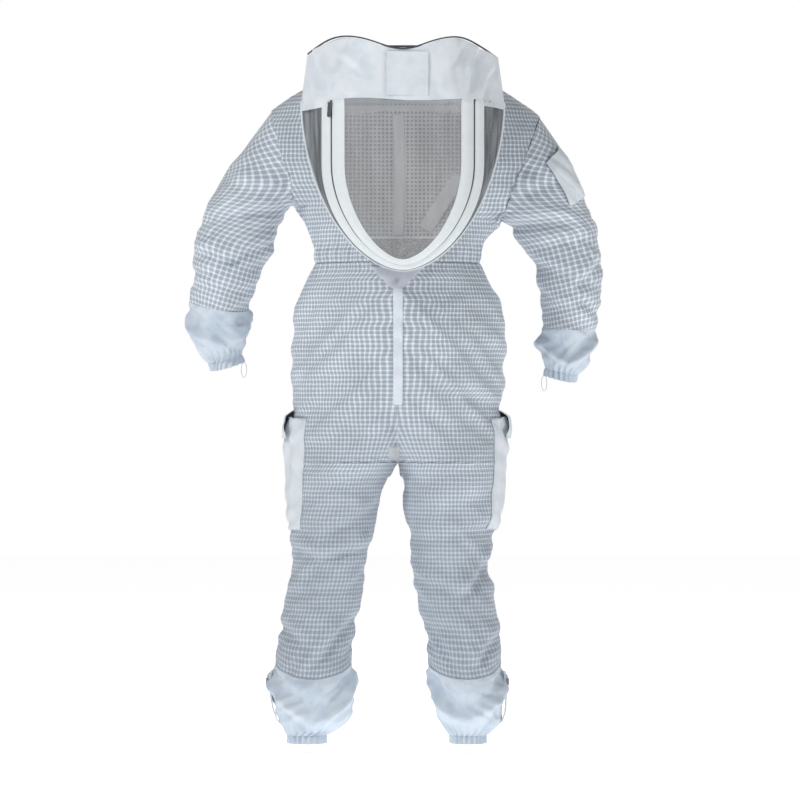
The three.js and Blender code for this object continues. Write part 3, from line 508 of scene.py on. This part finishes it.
for node, flat, area in (("upper_back", (0.66, 0.44), 0.205), ("chest_left", (0.31, 0.43), 0.092),
                         ("chest_right", (0.31, 0.43), 0.098)):
    panel = sewn_piece(f"{node}_cloth", node, 3, body_move, trunk_unroll, white_mesh, "suit")
panel = sewn_piece("waist_casing", "waist_elastic", 3, body_move, trunk_unroll, white_mesh, "suit")

# ---------------------------------------------------------------- trousers
# Each leg is a back and a front panel in the same open mesh, joined at the sides, the inner leg
# and the seat. The cloth drapes off the seat and breaks in slanting creases at the knees and shins.
for side, leg in ((-1, "left"), (1, "right")):
    for face, area in (("back", 0.245), ("front", 0.232)):
        node = f"trouser_{face}_{leg}"
        panel = sewn_piece(f"{node}_cloth", node, 3, body_move, LEG_AXES[side].unroll, white_mesh, "suit")


# ---------------------------------------------------------------- ankle cuffs
# White twill cuffs, cut wider than the leg and gathered into an elastic hem, so that they billow.
TWILL_PITCH = 0.0011


def make_twill():
    group, given, made = effect(
        "cotton_twill",
        [("Place", VECTOR, None), ("Tint", COLOUR, (1, 1, 1, 1)), ("Crease shade", COLOUR, (0.7, 0.75, 0.8, 1))],
        [("Colour", COLOUR), ("Height", NUMBER)],
    )
    split = group.nodes.new("ShaderNodeSeparateXYZ")
    group.links.new(given.outputs["Place"], split.inputs[0])
    slant = maths(group, "ADD", split.outputs["X"], maths(group, "MULTIPLY", split.outputs["Z"], 0.9))
    slant = maths(group, "ADD", slant, maths(group, "MULTIPLY", split.outputs["Y"], 0.8))
    rib = maths(group, "SINE", maths(group, "MULTIPLY", slant, 2 * math.pi / TWILL_PITCH))
    slub = speckle(group, given.outputs["Place"], 700, 3)
    crush = speckle(group, given.outputs["Place"], 30, 3)
    # painted shade: the crushed places, which the same noise also dents, are darkened towards the shade
    # colour
    tone = ramp(group, crush, 0.32, 0.6)
    shade = blend_colours(group, tone, given.outputs["Crease shade"], given.outputs["Tint"])
    fine = maths(group, "MULTIPLY_ADD", rib, 0.12, slub)
    colour = blend_colours(group, ramp(group, fine, 0.2, 0.8, 0.0, 0.16), shade, (1, 1, 1, 1))
    height = maths(group, "MULTIPLY_ADD", rib, 0.05, maths(group, "MULTIPLY", crush, 2.4))
    height = maths(group, "MULTIPLY_ADD", slub, 0.16, height)
    group.links.new(colour, made.inputs["Colour"])
    group.links.new(height, made.inputs["Height"])
    return group


cotton_twill = make_twill()


def cotton_cloth(name, tint, shade, bump=0.0016):
    """Twill in a tint, with painted shade in its crushed places."""
    return woven_cloth(name, 0.8, 0.15, cotton_twill, {"Tint": tint, "Crease shade": shade}, 0.6, bump)[0]


white_cotton = cotton_cloth("white_cotton", linear(217, 224, 230), linear(206, 215, 224), 0.0012)
# painted shade: a darker copy of the white cotton for the cuffs, which hang low, away from the light
shaded_cuff_cotton = cotton_cloth("shaded_cuff_cotton", linear(202, 214, 226), linear(184, 199, 215), 0.0012)


class Billow:
    """The folds of a gathered cuff: slanting drapes on its face and close gathers at its hem."""

    def __init__(self, names, hem, top, count, seed, lean):
        self.girth = Girth(names, 0.01)
        self.hem, self.top, self.count, self.seed, self.lean = hem, top, count, seed, lean

    def move(self, place):
        middle = self.girth.at(place.z)
        way = Vector((place.x - middle[0], place.y - middle[1], 0)).normalized()
        turn = math.atan2(place.x - middle[0], -(place.y - middle[1]))
        down = min(max((self.top - place.z) / (self.top - self.hem), 0), 1)
        drift = 1.6 * wander(place, (0.07, 0.07, 0.06), self.seed)
        face = min(abs(turn), math.pi - abs(turn))
        ridge = 0.76 + 0.05 * math.sin(3 * turn + self.seed) - 0.40 * (face / 1.2) ** 1.5
        drape = 0.0110 * hill(down, ridge, 0.10)
        drape -= 0.0110 * hill(down - ridge, -0.27, 0.15)
        drape *= ease(down, 0.0, 0.12) * ease(down, 1.0, 0.9)
        slant = Vector((place.x, place.y, place.z + 0.8 * self.lean * place.x))
        small = 0.0062 * crinkle(wander(slant, (0.06, 0.06, 0.022), self.seed + 4))
        small *= math.sin(math.pi * down)
        gather = 0.0036 * math.sin(self.count * turn + 2 * drift) * ease(down, 0.66, 0.97)
        tuck = 0.0012 * math.sin(0.7 * self.count * turn + drift) * ease(down, 0.2, 0.0)
        return place + way * (drape + small + gather + tuck)


ANKLE_HEM = -1.425
for side, leg in ((-1, "left"), (1, "right")):
    billow = Billow([f"ankle_cuff_{leg}"], ANKLE_HEM, CUFF_SEAM, 22, 2.0 + side, side)

    def cuff_move(place, billow=billow):
        seam = ease(place.z, -1.292, CUFF_SEAM)
        hung = billow.move(place) + Vector((0, 0, seam_dip(place)))
        return hung.lerp(body_move(place), seam)

    panel = sewn_piece(f"ankle_cuff_{leg}_cloth", f"ankle_cuff_{leg}", 3, cuff_move, billow.girth.unroll,
                       shaded_cuff_cotton, "suit")
    panel = sewn_piece(f"ankle_hem_{leg}", f"ankle_elastic_{leg}", 3, billow.move, billow.girth.unroll,
                       shaded_cuff_cotton, "suit")

# ---------------------------------------------------------------- sleeves
# Each sleeve is one tube of open mesh, loose at the elbow, with slanting folds inside the bend.
SLEEVE_LINES = {-1: (Vector((-0.262, 0.02, -0.15)), Vector((-0.380, 0.05, -0.520))),
                1: (Vector((0.262, 0.02, -0.15)), Vector((0.362, 0.05, -0.560)))}
ELBOW = -0.36
SLEEVE_RADIUS = 0.072
ARM_CREASES = {
    1: [(0.216, -0.362, 0.347, -0.352, 0.013, 0.011), (0.285, -0.432, 0.390, -0.486, 0.013, 0.009),
        (0.380, -0.486, 0.432, -0.424, 0.012, 0.009), (0.250, -0.300, 0.330, -0.270, 0.016, 0.005),
        (0.330, -0.530, 0.400, -0.520, 0.012, 0.005), (0.300, -0.400, 0.400, -0.385, 0.013, 0.006)],
    -1: [(-0.400, -0.350, -0.250, -0.330, 0.014, 0.009), (-0.430, -0.410, -0.330, -0.440, 0.013, 0.008),
         (-0.360, -0.440, -0.290, -0.400, 0.012, 0.008), (-0.350, -0.270, -0.250, -0.300, 0.016, 0.006),
         (-0.430, -0.480, -0.340, -0.495, 0.012, 0.007), (-0.440, -0.450, -0.380, -0.462, 0.010, 0.005)],
}


def sleeve_axis(side, place):
    start, end = SLEEVE_LINES[side]
    run = end - start
    share = (place - start).dot(run) / run.length_squared
    return start + run * share, run.normalized(), share * run.length


def sleeve_unroll(side):
    def unroll(place):
        middle, run, down = sleeve_axis(side, place)
        out = place - middle
        wide = Vector((1, 0, 0)) - run * run.x
        turn = math.atan2(out.dot(wide.normalized()), -out.y)
        bias = side * math.radians(40) * ease(down, 0.26, 0.06)
        across = SLEEVE_RADIUS * turn
        turned_across = across * math.cos(bias) + down * math.sin(bias)
        turned_down = down * math.cos(bias) - across * math.sin(bias)
        return (turned_across, turned_down)
    return unroll


def sleeve_move(side):
    def move(place):
        middle, run, down = sleeve_axis(side, place)
        out = (place - middle).normalized()
        sewn = ease(place.z, -0.15, -0.24)
        bent = Vector((place.x, place.y, place.z + 0.6 * side * place.x))
        swing = 0.0052 * crinkle(wander(bent, (0.09, 0.1, 0.032), 31 + side))
        swing += 0.0036 * crinkle(wander(bent, (0.05, 0.05, 0.02), 44 + side))
        for line in ARM_CREASES[side]:
            swing += crease(place, line) * (0.5 + 0.5 * ease(place.y, 0.06, 0.0))
        elbow = hill(place.z, ELBOW, 0.07)
        swing += 0.0046 * elbow * crinkle(wander(bent, (0.12, 0.12, 0.02), 52 + side))
        return place + out * swing * sewn
    return move


for side, arm in ((-1, "left"), (1, "right")):
    panel = sewn_piece(f"sleeve_{arm}_cloth", f"sleeve_{arm}", 3, sleeve_move(side), sleeve_unroll(side),
                       sleeve_mesh, "suit")

# ---------------------------------------------------------------- wrist cuffs
# White twill cuffs drawn in by elastic in their hems, so that they puff out above the wrist. Each is
# sewn to the end of its sleeve. The spans are the heights of its hem and of its seam.
WRIST_SPANS = {-1: (-0.640, -0.520), 1: (-0.665, -0.570)}
for side, arm in ((-1, "left"), (1, "right")):
    hem, top = WRIST_SPANS[side]
    billow = Billow([f"wrist_cuff_{arm}"], hem, top, 18, 6.0 + side, -side)

    def wrist_move(place, billow=billow, side=side, top=top):
        seam = ease(place.z, top - 0.03, top)
        return billow.move(place).lerp(sleeve_move(side)(place), seam)

    panel = sewn_piece(f"wrist_cuff_{arm}_cloth", f"wrist_cuff_{arm}", 3, wrist_move, sleeve_unroll(side),
                       shaded_cuff_cotton, "suit")
    panel = sewn_piece(f"wrist_hem_{arm}", f"wrist_elastic_{arm}", 3, wrist_move, sleeve_unroll(side),
                       shaded_cuff_cotton, "suit")

# ---------------------------------------------------------------- collar and seams of the suit
# A low stand collar in open mesh with a plain white binding along its top, a white tape over the
# seat seam, and a plain three-cornered patch where that seam meets the waist.
def make_tape_weave():
    group, given, made = effect(
        "tape_weave",
        [("Place", VECTOR, None), ("Tint", COLOUR, (1, 1, 1, 1)), ("Ribs", NUMBER, 2000.0)],
        [("Colour", COLOUR), ("Height", NUMBER)],
    )
    split = group.nodes.new("ShaderNodeSeparateXYZ")
    group.links.new(given.outputs["Place"], split.inputs[0])
    climb = maths(group, "SINE", maths(group, "MULTIPLY", split.outputs["Z"], given.outputs["Ribs"]))
    cross = maths(group, "ADD", split.outputs["X"], split.outputs["Y"])
    weft = maths(group, "SINE", maths(group, "MULTIPLY", cross, given.outputs["Ribs"]))
    weave = maths(group, "MULTIPLY", climb, weft)
    wear = speckle(group, given.outputs["Place"], 60, 4)
    fibre = speckle(group, given.outputs["Place"], 1200)
    fibres = maths(group, "MULTIPLY_ADD", weave, 0.15, fibre)
    worn = ramp(group, wear, 0.3, 0.65, 0.10, 0.0)
    dull = blend_colours(group, worn, given.outputs["Tint"], (0.45, 0.52, 0.6, 1))
    colour = blend_colours(group, ramp(group, fibres, 0.25, 0.75, 0.08, 0.0), dull, (0.5, 0.55, 0.62, 1))
    group.links.new(colour, made.inputs["Colour"])
    group.links.new(fibres, made.inputs["Height"])
    return group


tape_weave = make_tape_weave()


def tape_cloth(name, tint, roughness=0.6, ribs=3600.0):
    return woven_cloth(name, roughness, 0.1, tape_weave, {"Tint": tint, "Ribs": ribs}, 0.5, 0.0005)[0]


white_tape = tape_cloth("white_tape", linear(226, 232, 234))
seam_tape = tape_cloth("seam_tape", linear(226, 232, 242), 0.8)


def still(place):
    return place


def plain_unroll(place):
    return (place.x, place.z)


def crown(piece, height, rings):
    """Swells a sewn piece between its seams, most at the places that are furthest from a seam."""
    mesh = bmesh.new()
    mesh.from_mesh(piece.data)
    mesh.normal_update()
    near = {v for e in mesh.edges if not e.smooth for v in e.verts}
    swell = {v: 0 for v in near}
    for ring in range(1, rings + 1):
        near = {e.other_vert(v) for v in near for e in v.link_edges} - set(swell)
        for v in near:
            swell[v] = ring
    lifts = {}
    for v in mesh.verts:
        share = swell.get(v, rings) / rings
        lifts[v] = v.normal * height * (1 - (1 - share) ** 2)
    for v, lift in lifts.items():
        v.co += lift
    mesh.to_mesh(piece.data)
    mesh.free()


COLLAR_BINDING = 0.0095
collar_mesh = mesh_cloth("collar_open_mesh", 0.0075, linear(230, 235, 243), linear(150, 156, 168))
collar = sewn_piece("collar_cloth", "collar_stand", 3, still, TRUNK.unroll, collar_mesh, "suit")
collar.data.materials.append(white_cotton)
for face in collar.data.polygons:
    if face.center.z > COLLAR_BINDING:
        face.material_index = 1
seat_tape = sewn_piece("seat_seam_tape_cloth", "seat_seam_tape", 3, body_move, plain_unroll, seam_tape,
                       "suit")
crown(seat_tape, 0.0008, 4)
sewn_piece("hanger_loop_tape", "hanger_loop", 2, still, plain_unroll, white_tape, "suit")


def surface_of(names):
    pieces = [bpy.data.objects[name] for name in names]
    mesh = bmesh.new()
    for piece in pieces:
        mesh.from_mesh(piece.data)
    tree = BVHTree.FromBMesh(mesh)
    mesh.free()
    return tree


def laid_piece(name, across, down, spot, towards, lift, thickness, surface, material, body):
    """A flat patch laid on the cloth below it: each point drops on to the cloth along towards(point)."""
    mesh = bmesh.new()
    bmesh.ops.create_grid(mesh, x_segments=across, y_segments=down, size=0.5)
    for vertex in mesh.verts:
        start = spot(vertex.co.x + 0.5, 0.5 - vertex.co.y)
        way = towards(start)
        hit = surface.ray_cast(start - way * 0.2, way)[0]
        stand = lift(vertex.co.x + 0.5, 0.5 - vertex.co.y) if callable(lift) else lift
        vertex.co = (hit if hit else start) - way * stand
    bmesh.ops.recalc_face_normals(mesh, faces=mesh.faces)
    mesh.faces.ensure_lookup_table()
    middle = mesh.faces[len(mesh.faces) // 2]
    if middle.normal.dot(towards(middle.calc_center_median())) > 0:
        bmesh.ops.reverse_faces(mesh, faces=mesh.faces)
    for face in mesh.faces:
        face.smooth = True
    piece = new_piece(name, mesh, material)
    wall = piece.modifiers.new("wall", "SOLIDIFY")
    wall.thickness = thickness
    wall.offset = -1
    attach(piece, body)
    return piece


def forward(place):
    return Vector((0, 1, 0))


PATCH_TOP = -0.444
PATCH_HEIGHT = 0.048
PATCH_WIDTH = 0.118
PATCH_TAPER = 0.098


def patch_spot(u, v):
    width = PATCH_WIDTH - PATCH_TAPER * v
    return Vector((-0.002 + (u - 0.5) * width, -0.2, PATCH_TOP - PATCH_HEIGHT * v))


def gusset_spot(u, v):
    return Vector((-0.019 + 0.021 * u, -0.2, -0.818 - 0.030 * v))


SEAT = surface_of(["trouser_back_left_cloth", "trouser_back_right_cloth"])
patch_cotton = cotton_cloth("patch_cotton", linear(208, 212, 226), linear(198, 203, 218))
panel = laid_piece("seat_patch", 24, 10, patch_spot, forward, 0.0016, 0.0012, SEAT,
                   patch_cotton, "suit")
gusset_cotton = cotton_cloth("gusset_cotton", linear(196, 198, 200), linear(182, 184, 188))
panel = laid_piece("crotch_gusset", 8, 10, gusset_spot, forward, 0.0008, 0.0010, SEAT,
                   gusset_cotton, "suit")

# ---------------------------------------------------------------- front zip
# A moulded zip from the neck to the fork on two white tapes. Its teeth stand in two staggered rows, and
# its slider and pull are grey cast metal, like those of the veil and the ankles.
for side in ("left", "right"):
    sewn_piece(f"front_zip_tape_{side}_cloth", f"front_zip_tape_{side}", 2, still, plain_unroll,
               white_tape, "suit")


def plastic(name, colour, roughness):
    material, tree, shader, places = start_material(name, roughness)
    grain = speckle(tree, places.outputs["Object"], 800, 3)
    dust = speckle(tree, places.outputs["Object"], 90, 3)
    dark = tuple(c * 0.72 for c in colour[:3]) + (1,)
    tone = blend_colours(tree, ramp(tree, dust, 0.35, 0.65), dark, colour)
    matt = ramp(tree, grain, 0.3, 0.7, roughness - 0.08, roughness + 0.12)
    tree.links.new(tone, shader.inputs["Base Color"])
    tree.links.new(matt, shader.inputs["Roughness"])
    add_bump(tree, shader, grain, 0.3, 0.0002)
    return material


white_plastic = plastic("white_teeth_plastic", linear(224, 230, 236), 0.42)
dark_plastic = plastic("dark_teeth_plastic", linear(74, 78, 86), 0.45)


def toothed_piece(name, node, spots, tooth, material, body):
    """A row of small moulded teeth along a zip. Each spot is a middle, the way along and the way out."""
    mesh = bmesh.new()
    for middle, run, out in spots:
        side = out.cross(run).normalized()
        turn = Matrix((side, out, run)).transposed().to_4x4()
        spread = Matrix.Diagonal((tooth[0], tooth[1], tooth[2], 1))
        made = bmesh.ops.create_cube(mesh, size=1, matrix=Matrix.Translation(middle) @ turn @ spread)
        top = [v for v in made["verts"] if (v.co - middle).dot(out) > 0]
        bmesh.ops.scale(mesh, vec=(0.86, 0.86, 0.86), verts=top, space=Matrix.Translation(-middle))
    piece = new_piece(name, mesh, material)
    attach(piece, body)
    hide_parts(node)
    return piece


TOOTH_STEP = 0.0032
TOOTH_WIDTH = 0.0038
TOOTH_STAGGER = 0.0006
zip_low, zip_high = (Vector(corner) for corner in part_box("front_zip_teeth"))
tooth_count = int((zip_high.z - zip_low.z) / TOOTH_STEP)
zip_middle = (zip_low + zip_high) / 2
front_teeth = []
for k in range(tooth_count):
    height = zip_low.z + (k + 0.5) * TOOTH_STEP
    shift = TOOTH_STAGGER if k % 2 else -TOOTH_STAGGER
    front_teeth.append((Vector((shift, zip_middle.y, height)), Vector((0, 0, 1)), Vector((0, 1, 0))))
toothed_piece("front_zip_teeth_row", "front_zip_teeth", front_teeth,
              (TOOTH_WIDTH, zip_high.y - zip_low.y, TOOTH_STEP * 0.62), white_plastic, "suit")


def cast_metal(name, colour):
    material, tree, shader, places = start_material(name, 0.36, metal=0.9)
    grain = speckle(tree, places.outputs["Object"], 420, 4)
    rub = speckle(tree, places.outputs["Object"], 160, 3)
    bright = tuple(min(1, c * 1.7) for c in colour[:3]) + (1,)
    tone = blend_colours(tree, ramp(tree, rub, 0.5, 0.7), colour, bright)
    tree.links.new(tone, shader.inputs["Base Color"])
    tree.links.new(ramp(tree, grain, 0.3, 0.7, 0.26, 0.48), shader.inputs["Roughness"])
    add_bump(tree, shader, grain, 0.25, 0.0003)
    return material


zip_metal = cast_metal("zip_metal", linear(120, 122, 126))
for node in ("front_zip_slider", "front_zip_pull", "veil_zip_slider", "veil_zip_pull",
             "ankle_zip_left_slider", "ankle_zip_right_slider"):
    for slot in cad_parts[node].material_slots:
        slot.material = zip_metal

# ---------------------------------------------------------------- hood cloth
# The unzipped fencing hood hangs upside down on the back. Its white twill band is nearest the
# collar, its open-mesh back panel lies behind the veil, and its crown is heather grey cloth.
HOOD_MIDDLE_X = 0.010
HOOD_RADIUS = 0.19
FLAP_MIDDLE_X = 0.019


def hood_unroll(place):
    return (HOOD_RADIUS * math.atan2(place.x - HOOD_MIDDLE_X, -(place.y + 0.10)), -place.z)


BAND_CREASES = [
    (-0.178, -0.012, -0.140, -0.100, 0.008, 0.006), (-0.120, -0.030, -0.080, -0.062, 0.009, 0.004),
    (0.150, -0.088, 0.172, -0.008, 0.008, 0.008), (0.110, -0.050, 0.136, -0.004, 0.009, 0.004),
    (0.176, -0.100, 0.196, -0.050, 0.007, 0.005),
]


def band_move(place):
    """Dents and folds in the band, and its lower lip, which hangs lower over the wings at its ends."""
    swing = 0.0062 * crinkle(wander(place, (0.045, 0.09, 0.11), 61.2))
    for line in BAND_CREASES:
        swing += crease(place, line)
    slant = Vector((place.x, place.y, place.z - 0.5 * place.x))
    swing += 0.0026 * crinkle(wander(slant, (0.03, 0.06, 0.07), 67.9))
    calm = 1 - 0.85 * ease(place.z, -0.098, -0.112) - 0.6 * ease(abs(place.x - FLAP_MIDDLE_X), 0.062, 0.045)
    calm *= ease(place.y, -0.166, -0.182)
    wing = ease(abs(place.x - HOOD_MIDDLE_X), 0.144, 0.162)
    lip = ease(place.z, -0.062, -0.1125) * ease(place.y, -0.163, -0.175)
    out = Vector((0.5 * (place.x - HOOD_MIDDLE_X), place.y + 0.212, 0))
    out = Vector((0, -1, 0)) if out.length < 1e-6 else out.normalized()
    drop = lip * (0.004 + 0.012 * wing + 0.003 * math.sin(26 * place.x + 0.6))
    return place + out * (swing * calm + 0.0024 * lip) + Vector((0, 0, -drop))


band = sewn_piece("hood_front_band_cloth", "hood_front_band", 3, band_move, hood_unroll, white_cotton,
                  "hood")


def rear_move(place):
    calm = ease(place.y, -0.090, -0.110) * ease(place.y, -0.163, -0.150)
    return place + Vector((0, 0, 0.004 * calm * wander(place, (0.06, 0.06, 0.05), 71)))


panel = sewn_piece("hood_rear_band_cloth", "hood_rear_band", 2, rear_move, hood_unroll, white_cotton,
                   "hood")
inner_mesh = mesh_cloth("hood_open_mesh", 0.0084, linear(250, 250, 250), linear(140, 141, 143), 0.42)


def inner_move(place):
    return place + Vector((0, 0.004 * wander(place, (0.09, 0.2, 0.05), 77), 0))


panel = sewn_piece("hood_back_panel_cloth", "hood_back_panel", 3, inner_move, plain_unroll, inner_mesh,
                   "hood")


def heather_cloth(name):
    material, tree, shader, places = start_material(name, 0.9, sheen=0.2)
    fleck = speckle(tree, places.outputs["Object"], 300, 4)
    patch = speckle(tree, places.outputs["Object"], 30, 3)
    grey = blend_colours(tree, ramp(tree, fleck, 0.40, 0.62), linear(78, 78, 80), linear(214, 214, 216))
    tone = blend_colours(tree, ramp(tree, patch, 0.3, 0.7, 0, 0.3), grey, linear(150, 150, 152))
    tree.links.new(tone, shader.inputs["Base Color"])
    add_bump(tree, shader, fleck, 0.5, 0.0008)
    return material


def back_seam_spot(u, v):
    return Vector((-0.012 + 0.023 * u + 0.004 * math.sin(3 * v), -0.25, -0.134 - 0.250 * v))


def back_seam_lift(u, v):
    return 0.0014 + 0.0008 * math.sin(math.pi * u)


def facing_spot(u, v):
    depth = 0.014 + 0.004 * math.sin(9 * u)
    return Vector((-0.140 + 0.300 * u, -0.25, -0.1155 - depth * v))


BACK_PANEL = surface_of(["hood_back_panel_cloth"])
panel = laid_piece("hood_back_seam", 6, 40, back_seam_spot, forward, back_seam_lift, 0.001, BACK_PANEL,
                   tape_cloth("inner_seam_tape", linear(246, 246, 248)), "hood")
panel = laid_piece("hood_back_facing", 40, 4, facing_spot, forward, 0.0012, 0.001, BACK_PANEL,
                   tape_cloth("inner_facing_cloth", linear(236, 236, 238)), "hood")
crown_cloth = sewn_piece("hood_crown_cloth", "hood_crown", 3, inner_move, plain_unroll,
                         heather_cloth("heather_grey"), "hood")
crown(crown_cloth, 0.0016, 6)
strap_cloth = tape_cloth("grey_strap", linear(255, 255, 255))
panel = sewn_piece("head_strap_tape", "head_strap", 2, inner_move, plain_unroll, strap_cloth, "hood")
hook_pile = tape_cloth("hook_pile", linear(214, 220, 228), 0.9)
panel = sewn_piece("flap_hook_patch_cloth", "flap_hook_patch", 2, still, plain_unroll, hook_pile, "hood")


def flap_move(place):
    # the free edge lifts a little, and the whole flap is softly dented
    free = ease(place.x, 0.060, -0.022)
    return place + Vector((0, -0.0012 * free + 0.0007 * wander(place, (0.03, 0.1, 0.035), 81), 0))


neck_flap = sewn_piece("neck_flap_cloth", "neck_flap", 3, flap_move, plain_unroll, white_cotton,
                       "neck_flap")

# ---------------------------------------------------------------- veil
# The veil is fine net: grey over the face and black at the sides. It is framed by a coil zip on two
# white tapes, and a thin white piping runs round the rim where it is sewn to the hood.
def make_fine_net():
    group, given, made = effect(
        "fine_net",
        [("Cloth", VECTOR, None), ("Place", VECTOR, None), ("Pitch", NUMBER, 0.0019),
         ("Thread", COLOUR, (0.3, 0.3, 0.3, 1)), ("Fold shade", COLOUR, (0.05, 0.05, 0.05, 1)),
         ("Open", NUMBER, 0.3), ("Closed", NUMBER, 0.9)],
        [("Colour", COLOUR), ("Height", NUMBER), ("Cover", NUMBER)],
    )
    split = group.nodes.new("ShaderNodeSeparateXYZ")
    group.links.new(given.outputs["Cloth"], split.inputs[0])
    threads = []
    for axis in ("X", "Y"):
        cell = maths(group, "FRACT", maths(group, "DIVIDE", split.outputs[axis], given.outputs["Pitch"]))
        edge = maths(group, "ABSOLUTE", maths(group, "SUBTRACT", cell, 0.5))
        threads.append(ramp(group, edge, 0.22, 0.38))
    cover = maths(group, "MAXIMUM", threads[0], threads[1])
    # painted light and shade: long upright streaks lighten and darken the net as if it hung in lit and
    # shaded folds
    hang = group.nodes.new("ShaderNodeVectorMath")
    hang.operation = "MULTIPLY"
    hang.inputs[1].default_value = (1.6, 1.6, 0.16)
    group.links.new(given.outputs["Place"], hang.inputs[0])
    fold = speckle(group, hang.outputs[0], 40, 3)
    fold_light = ramp(group, fold, 0.35, 0.65)
    colour = blend_colours(group, fold_light, given.outputs["Fold shade"], given.outputs["Thread"])
    alpha = ramp(group, cover, 0.0, 1.0, given.outputs["Open"], given.outputs["Closed"])
    group.links.new(colour, made.inputs["Colour"])
    group.links.new(cover, made.inputs["Height"])
    group.links.new(alpha, made.inputs["Cover"])
    return group


fine_net = make_fine_net()


def net_cloth(name, thread, dark, holes, threads):
    settings = {"Thread": thread, "Fold shade": dark, "Open": holes, "Closed": threads}
    material, tree, shader, places, net = woven_cloth(name, 0.7, 0.0, fine_net, settings, 0.4, 0.0004)
    tree.links.new(net.outputs["Cover"], shader.inputs["Alpha"])
    return material


grey_net = net_cloth("grey_veil_net", linear(196, 198, 201), linear(182, 184, 187), 0.02, 0.42)
black_net = net_cloth("black_veil_net", linear(150, 155, 160), linear(92, 97, 102), 0.45, 0.92)
panel = sewn_piece("face_mesh_net", "face_mesh", 2, still, hood_unroll, grey_net, "hood")


def side_net_move(place):
    # slack net hangs in long upright folds between the rim and the zip
    across = abs(place.x - HOOD_MIDDLE_X)
    edge = ease(across, 0.160, 0.176) * ease(across, 0.206, 0.192)
    fold = math.sin(150 * abs(place.x) + 5 * wander(place, (0.06, 0.06, 0.12), 91))
    return place + Vector((0, 0.0042 * edge * fold, 0))


for side in ("left", "right"):
    panel = sewn_piece(f"veil_side_net_{side}", f"veil_side_mesh_{side}", 4, side_net_move, hood_unroll,
                       black_net, "hood")
outer_tape = sewn_piece("veil_outer_tape_cloth", "veil_zip_outer_tape", 3, still, plain_unroll, white_tape,
                        "hood")
crown(outer_tape, 0.0022, 4)
inner_tape = sewn_piece("veil_inner_tape_cloth", "veil_zip_inner_tape", 3, still, plain_unroll, white_tape,
                        "hood")
crown(inner_tape, 0.0026, 4)
sewn_piece("veil_coil_teeth", "veil_zip_coil", 2, still, plain_unroll, dark_plastic, "hood")
sewn_piece("veil_rim_cord", "veil_rim_piping", 1, still, plain_unroll, white_tape, "hood")
for node, body in (("neck_zip_hood_half", "hood"), ("neck_zip_collar_half", "suit")):
    sewn_piece(f"{node}_teeth", node, 2, still, plain_unroll, dark_plastic, body)

# ---------------------------------------------------------------- pockets
# White twill patch pockets: one on each thigh with a flap and a bellows edge, one with a flap on the
# chest, and a narrow tool pocket on the wearer's right upper arm.
for side, leg in ((-1, "left"), (1, "right")):
    bag = sewn_piece(f"thigh_pocket_{leg}_cloth", f"thigh_pocket_{leg}", 3, body_move,
                     LEG_AXES[side].unroll, white_cotton, "suit")
    crown(bag, 0.0012, 6)
    panel = sewn_piece(f"thigh_flap_{leg}_cloth", f"thigh_pocket_flap_{leg}", 3, body_move,
                       LEG_AXES[side].unroll, white_cotton, f"thigh_flap_{leg}")
chest_bag = sewn_piece("chest_pocket_cloth", "chest_pocket", 3, body_move, TRUNK.unroll, white_cotton,
                       "suit")
crown(chest_bag, 0.0010, 6)
panel = sewn_piece("chest_flap_cloth", "chest_pocket_flap", 3, body_move, TRUNK.unroll, white_cotton,
                   "chest_flap")
tool_bag = sewn_piece("sleeve_tool_pocket_cloth", "sleeve_tool_pocket", 3, sleeve_move(1), sleeve_unroll(1),
                      white_cotton, "suit")
crown(tool_bag, 0.0010, 6)
POCKET_TOP = -0.760
POCKET_HEIGHT = 0.232
POCKET_EDGE = -0.30
BELLOWS_START = {-1: -0.70, 1: -0.52}


def pocket_bellows(side):
    """The bellows cloth goes round the leg from its start to the pocket's edge, both angles in radians."""
    axis = LEG_AXES[side]
    start = BELLOWS_START[side]

    def spot(u, v):
        height = POCKET_TOP - POCKET_HEIGHT * v
        middle_x, middle_y, wide, deep = axis.at(height)
        turn = start + (POCKET_EDGE - start) * u
        return Vector((middle_x + side * wide * math.cos(turn), middle_y + deep * math.sin(turn), height))

    def towards(place):
        middle = axis.at(place.z)
        return Vector((middle[0] - place.x, middle[1] - place.y, 0)).normalized()

    return spot, towards


def bellows_lift(u, v):
    pleat = 0.0026 * ease(abs(u - 0.2), 0.08, 0.02)
    return 0.0012 + 0.0032 * ease(u, 0.0, 0.12) + 0.0065 * ease(u, 0.3, 1.0) - pleat


for side, leg in ((-1, "left"), (1, "right")):
    spot, towards = pocket_bellows(side)
    cloth_below = surface_of([f"trouser_back_{leg}_cloth", f"trouser_front_{leg}_cloth"])
    bellows = laid_piece(f"thigh_pocket_bellows_{leg}", 16, 40, spot, towards, bellows_lift, 0.0012,
                         cloth_below, white_cotton, "suit")

# ---------------------------------------------------------------- ankle zips and thumb loops
# A short zip opens the outside of each ankle cuff. A loop of white elastic hangs at each wrist, and
# hooks over the thumb.
for leg in ("left", "right"):
    panel = sewn_piece(f"ankle_zip_tape_{leg}_cloth", f"ankle_zip_tape_{leg}", 3, still, plain_unroll,
                       white_tape, "suit")
    sewn_piece(f"ankle_zip_teeth_{leg}_row", f"ankle_zip_teeth_{leg}", 2, still, plain_unroll,
               white_plastic, "suit")
for arm in ("left", "right"):
    sewn_piece(f"thumb_loop_{arm}_elastic", f"thumb_loop_{arm}", 2, still, plain_unroll, white_tape,
               f"thumb_loop_{arm}")
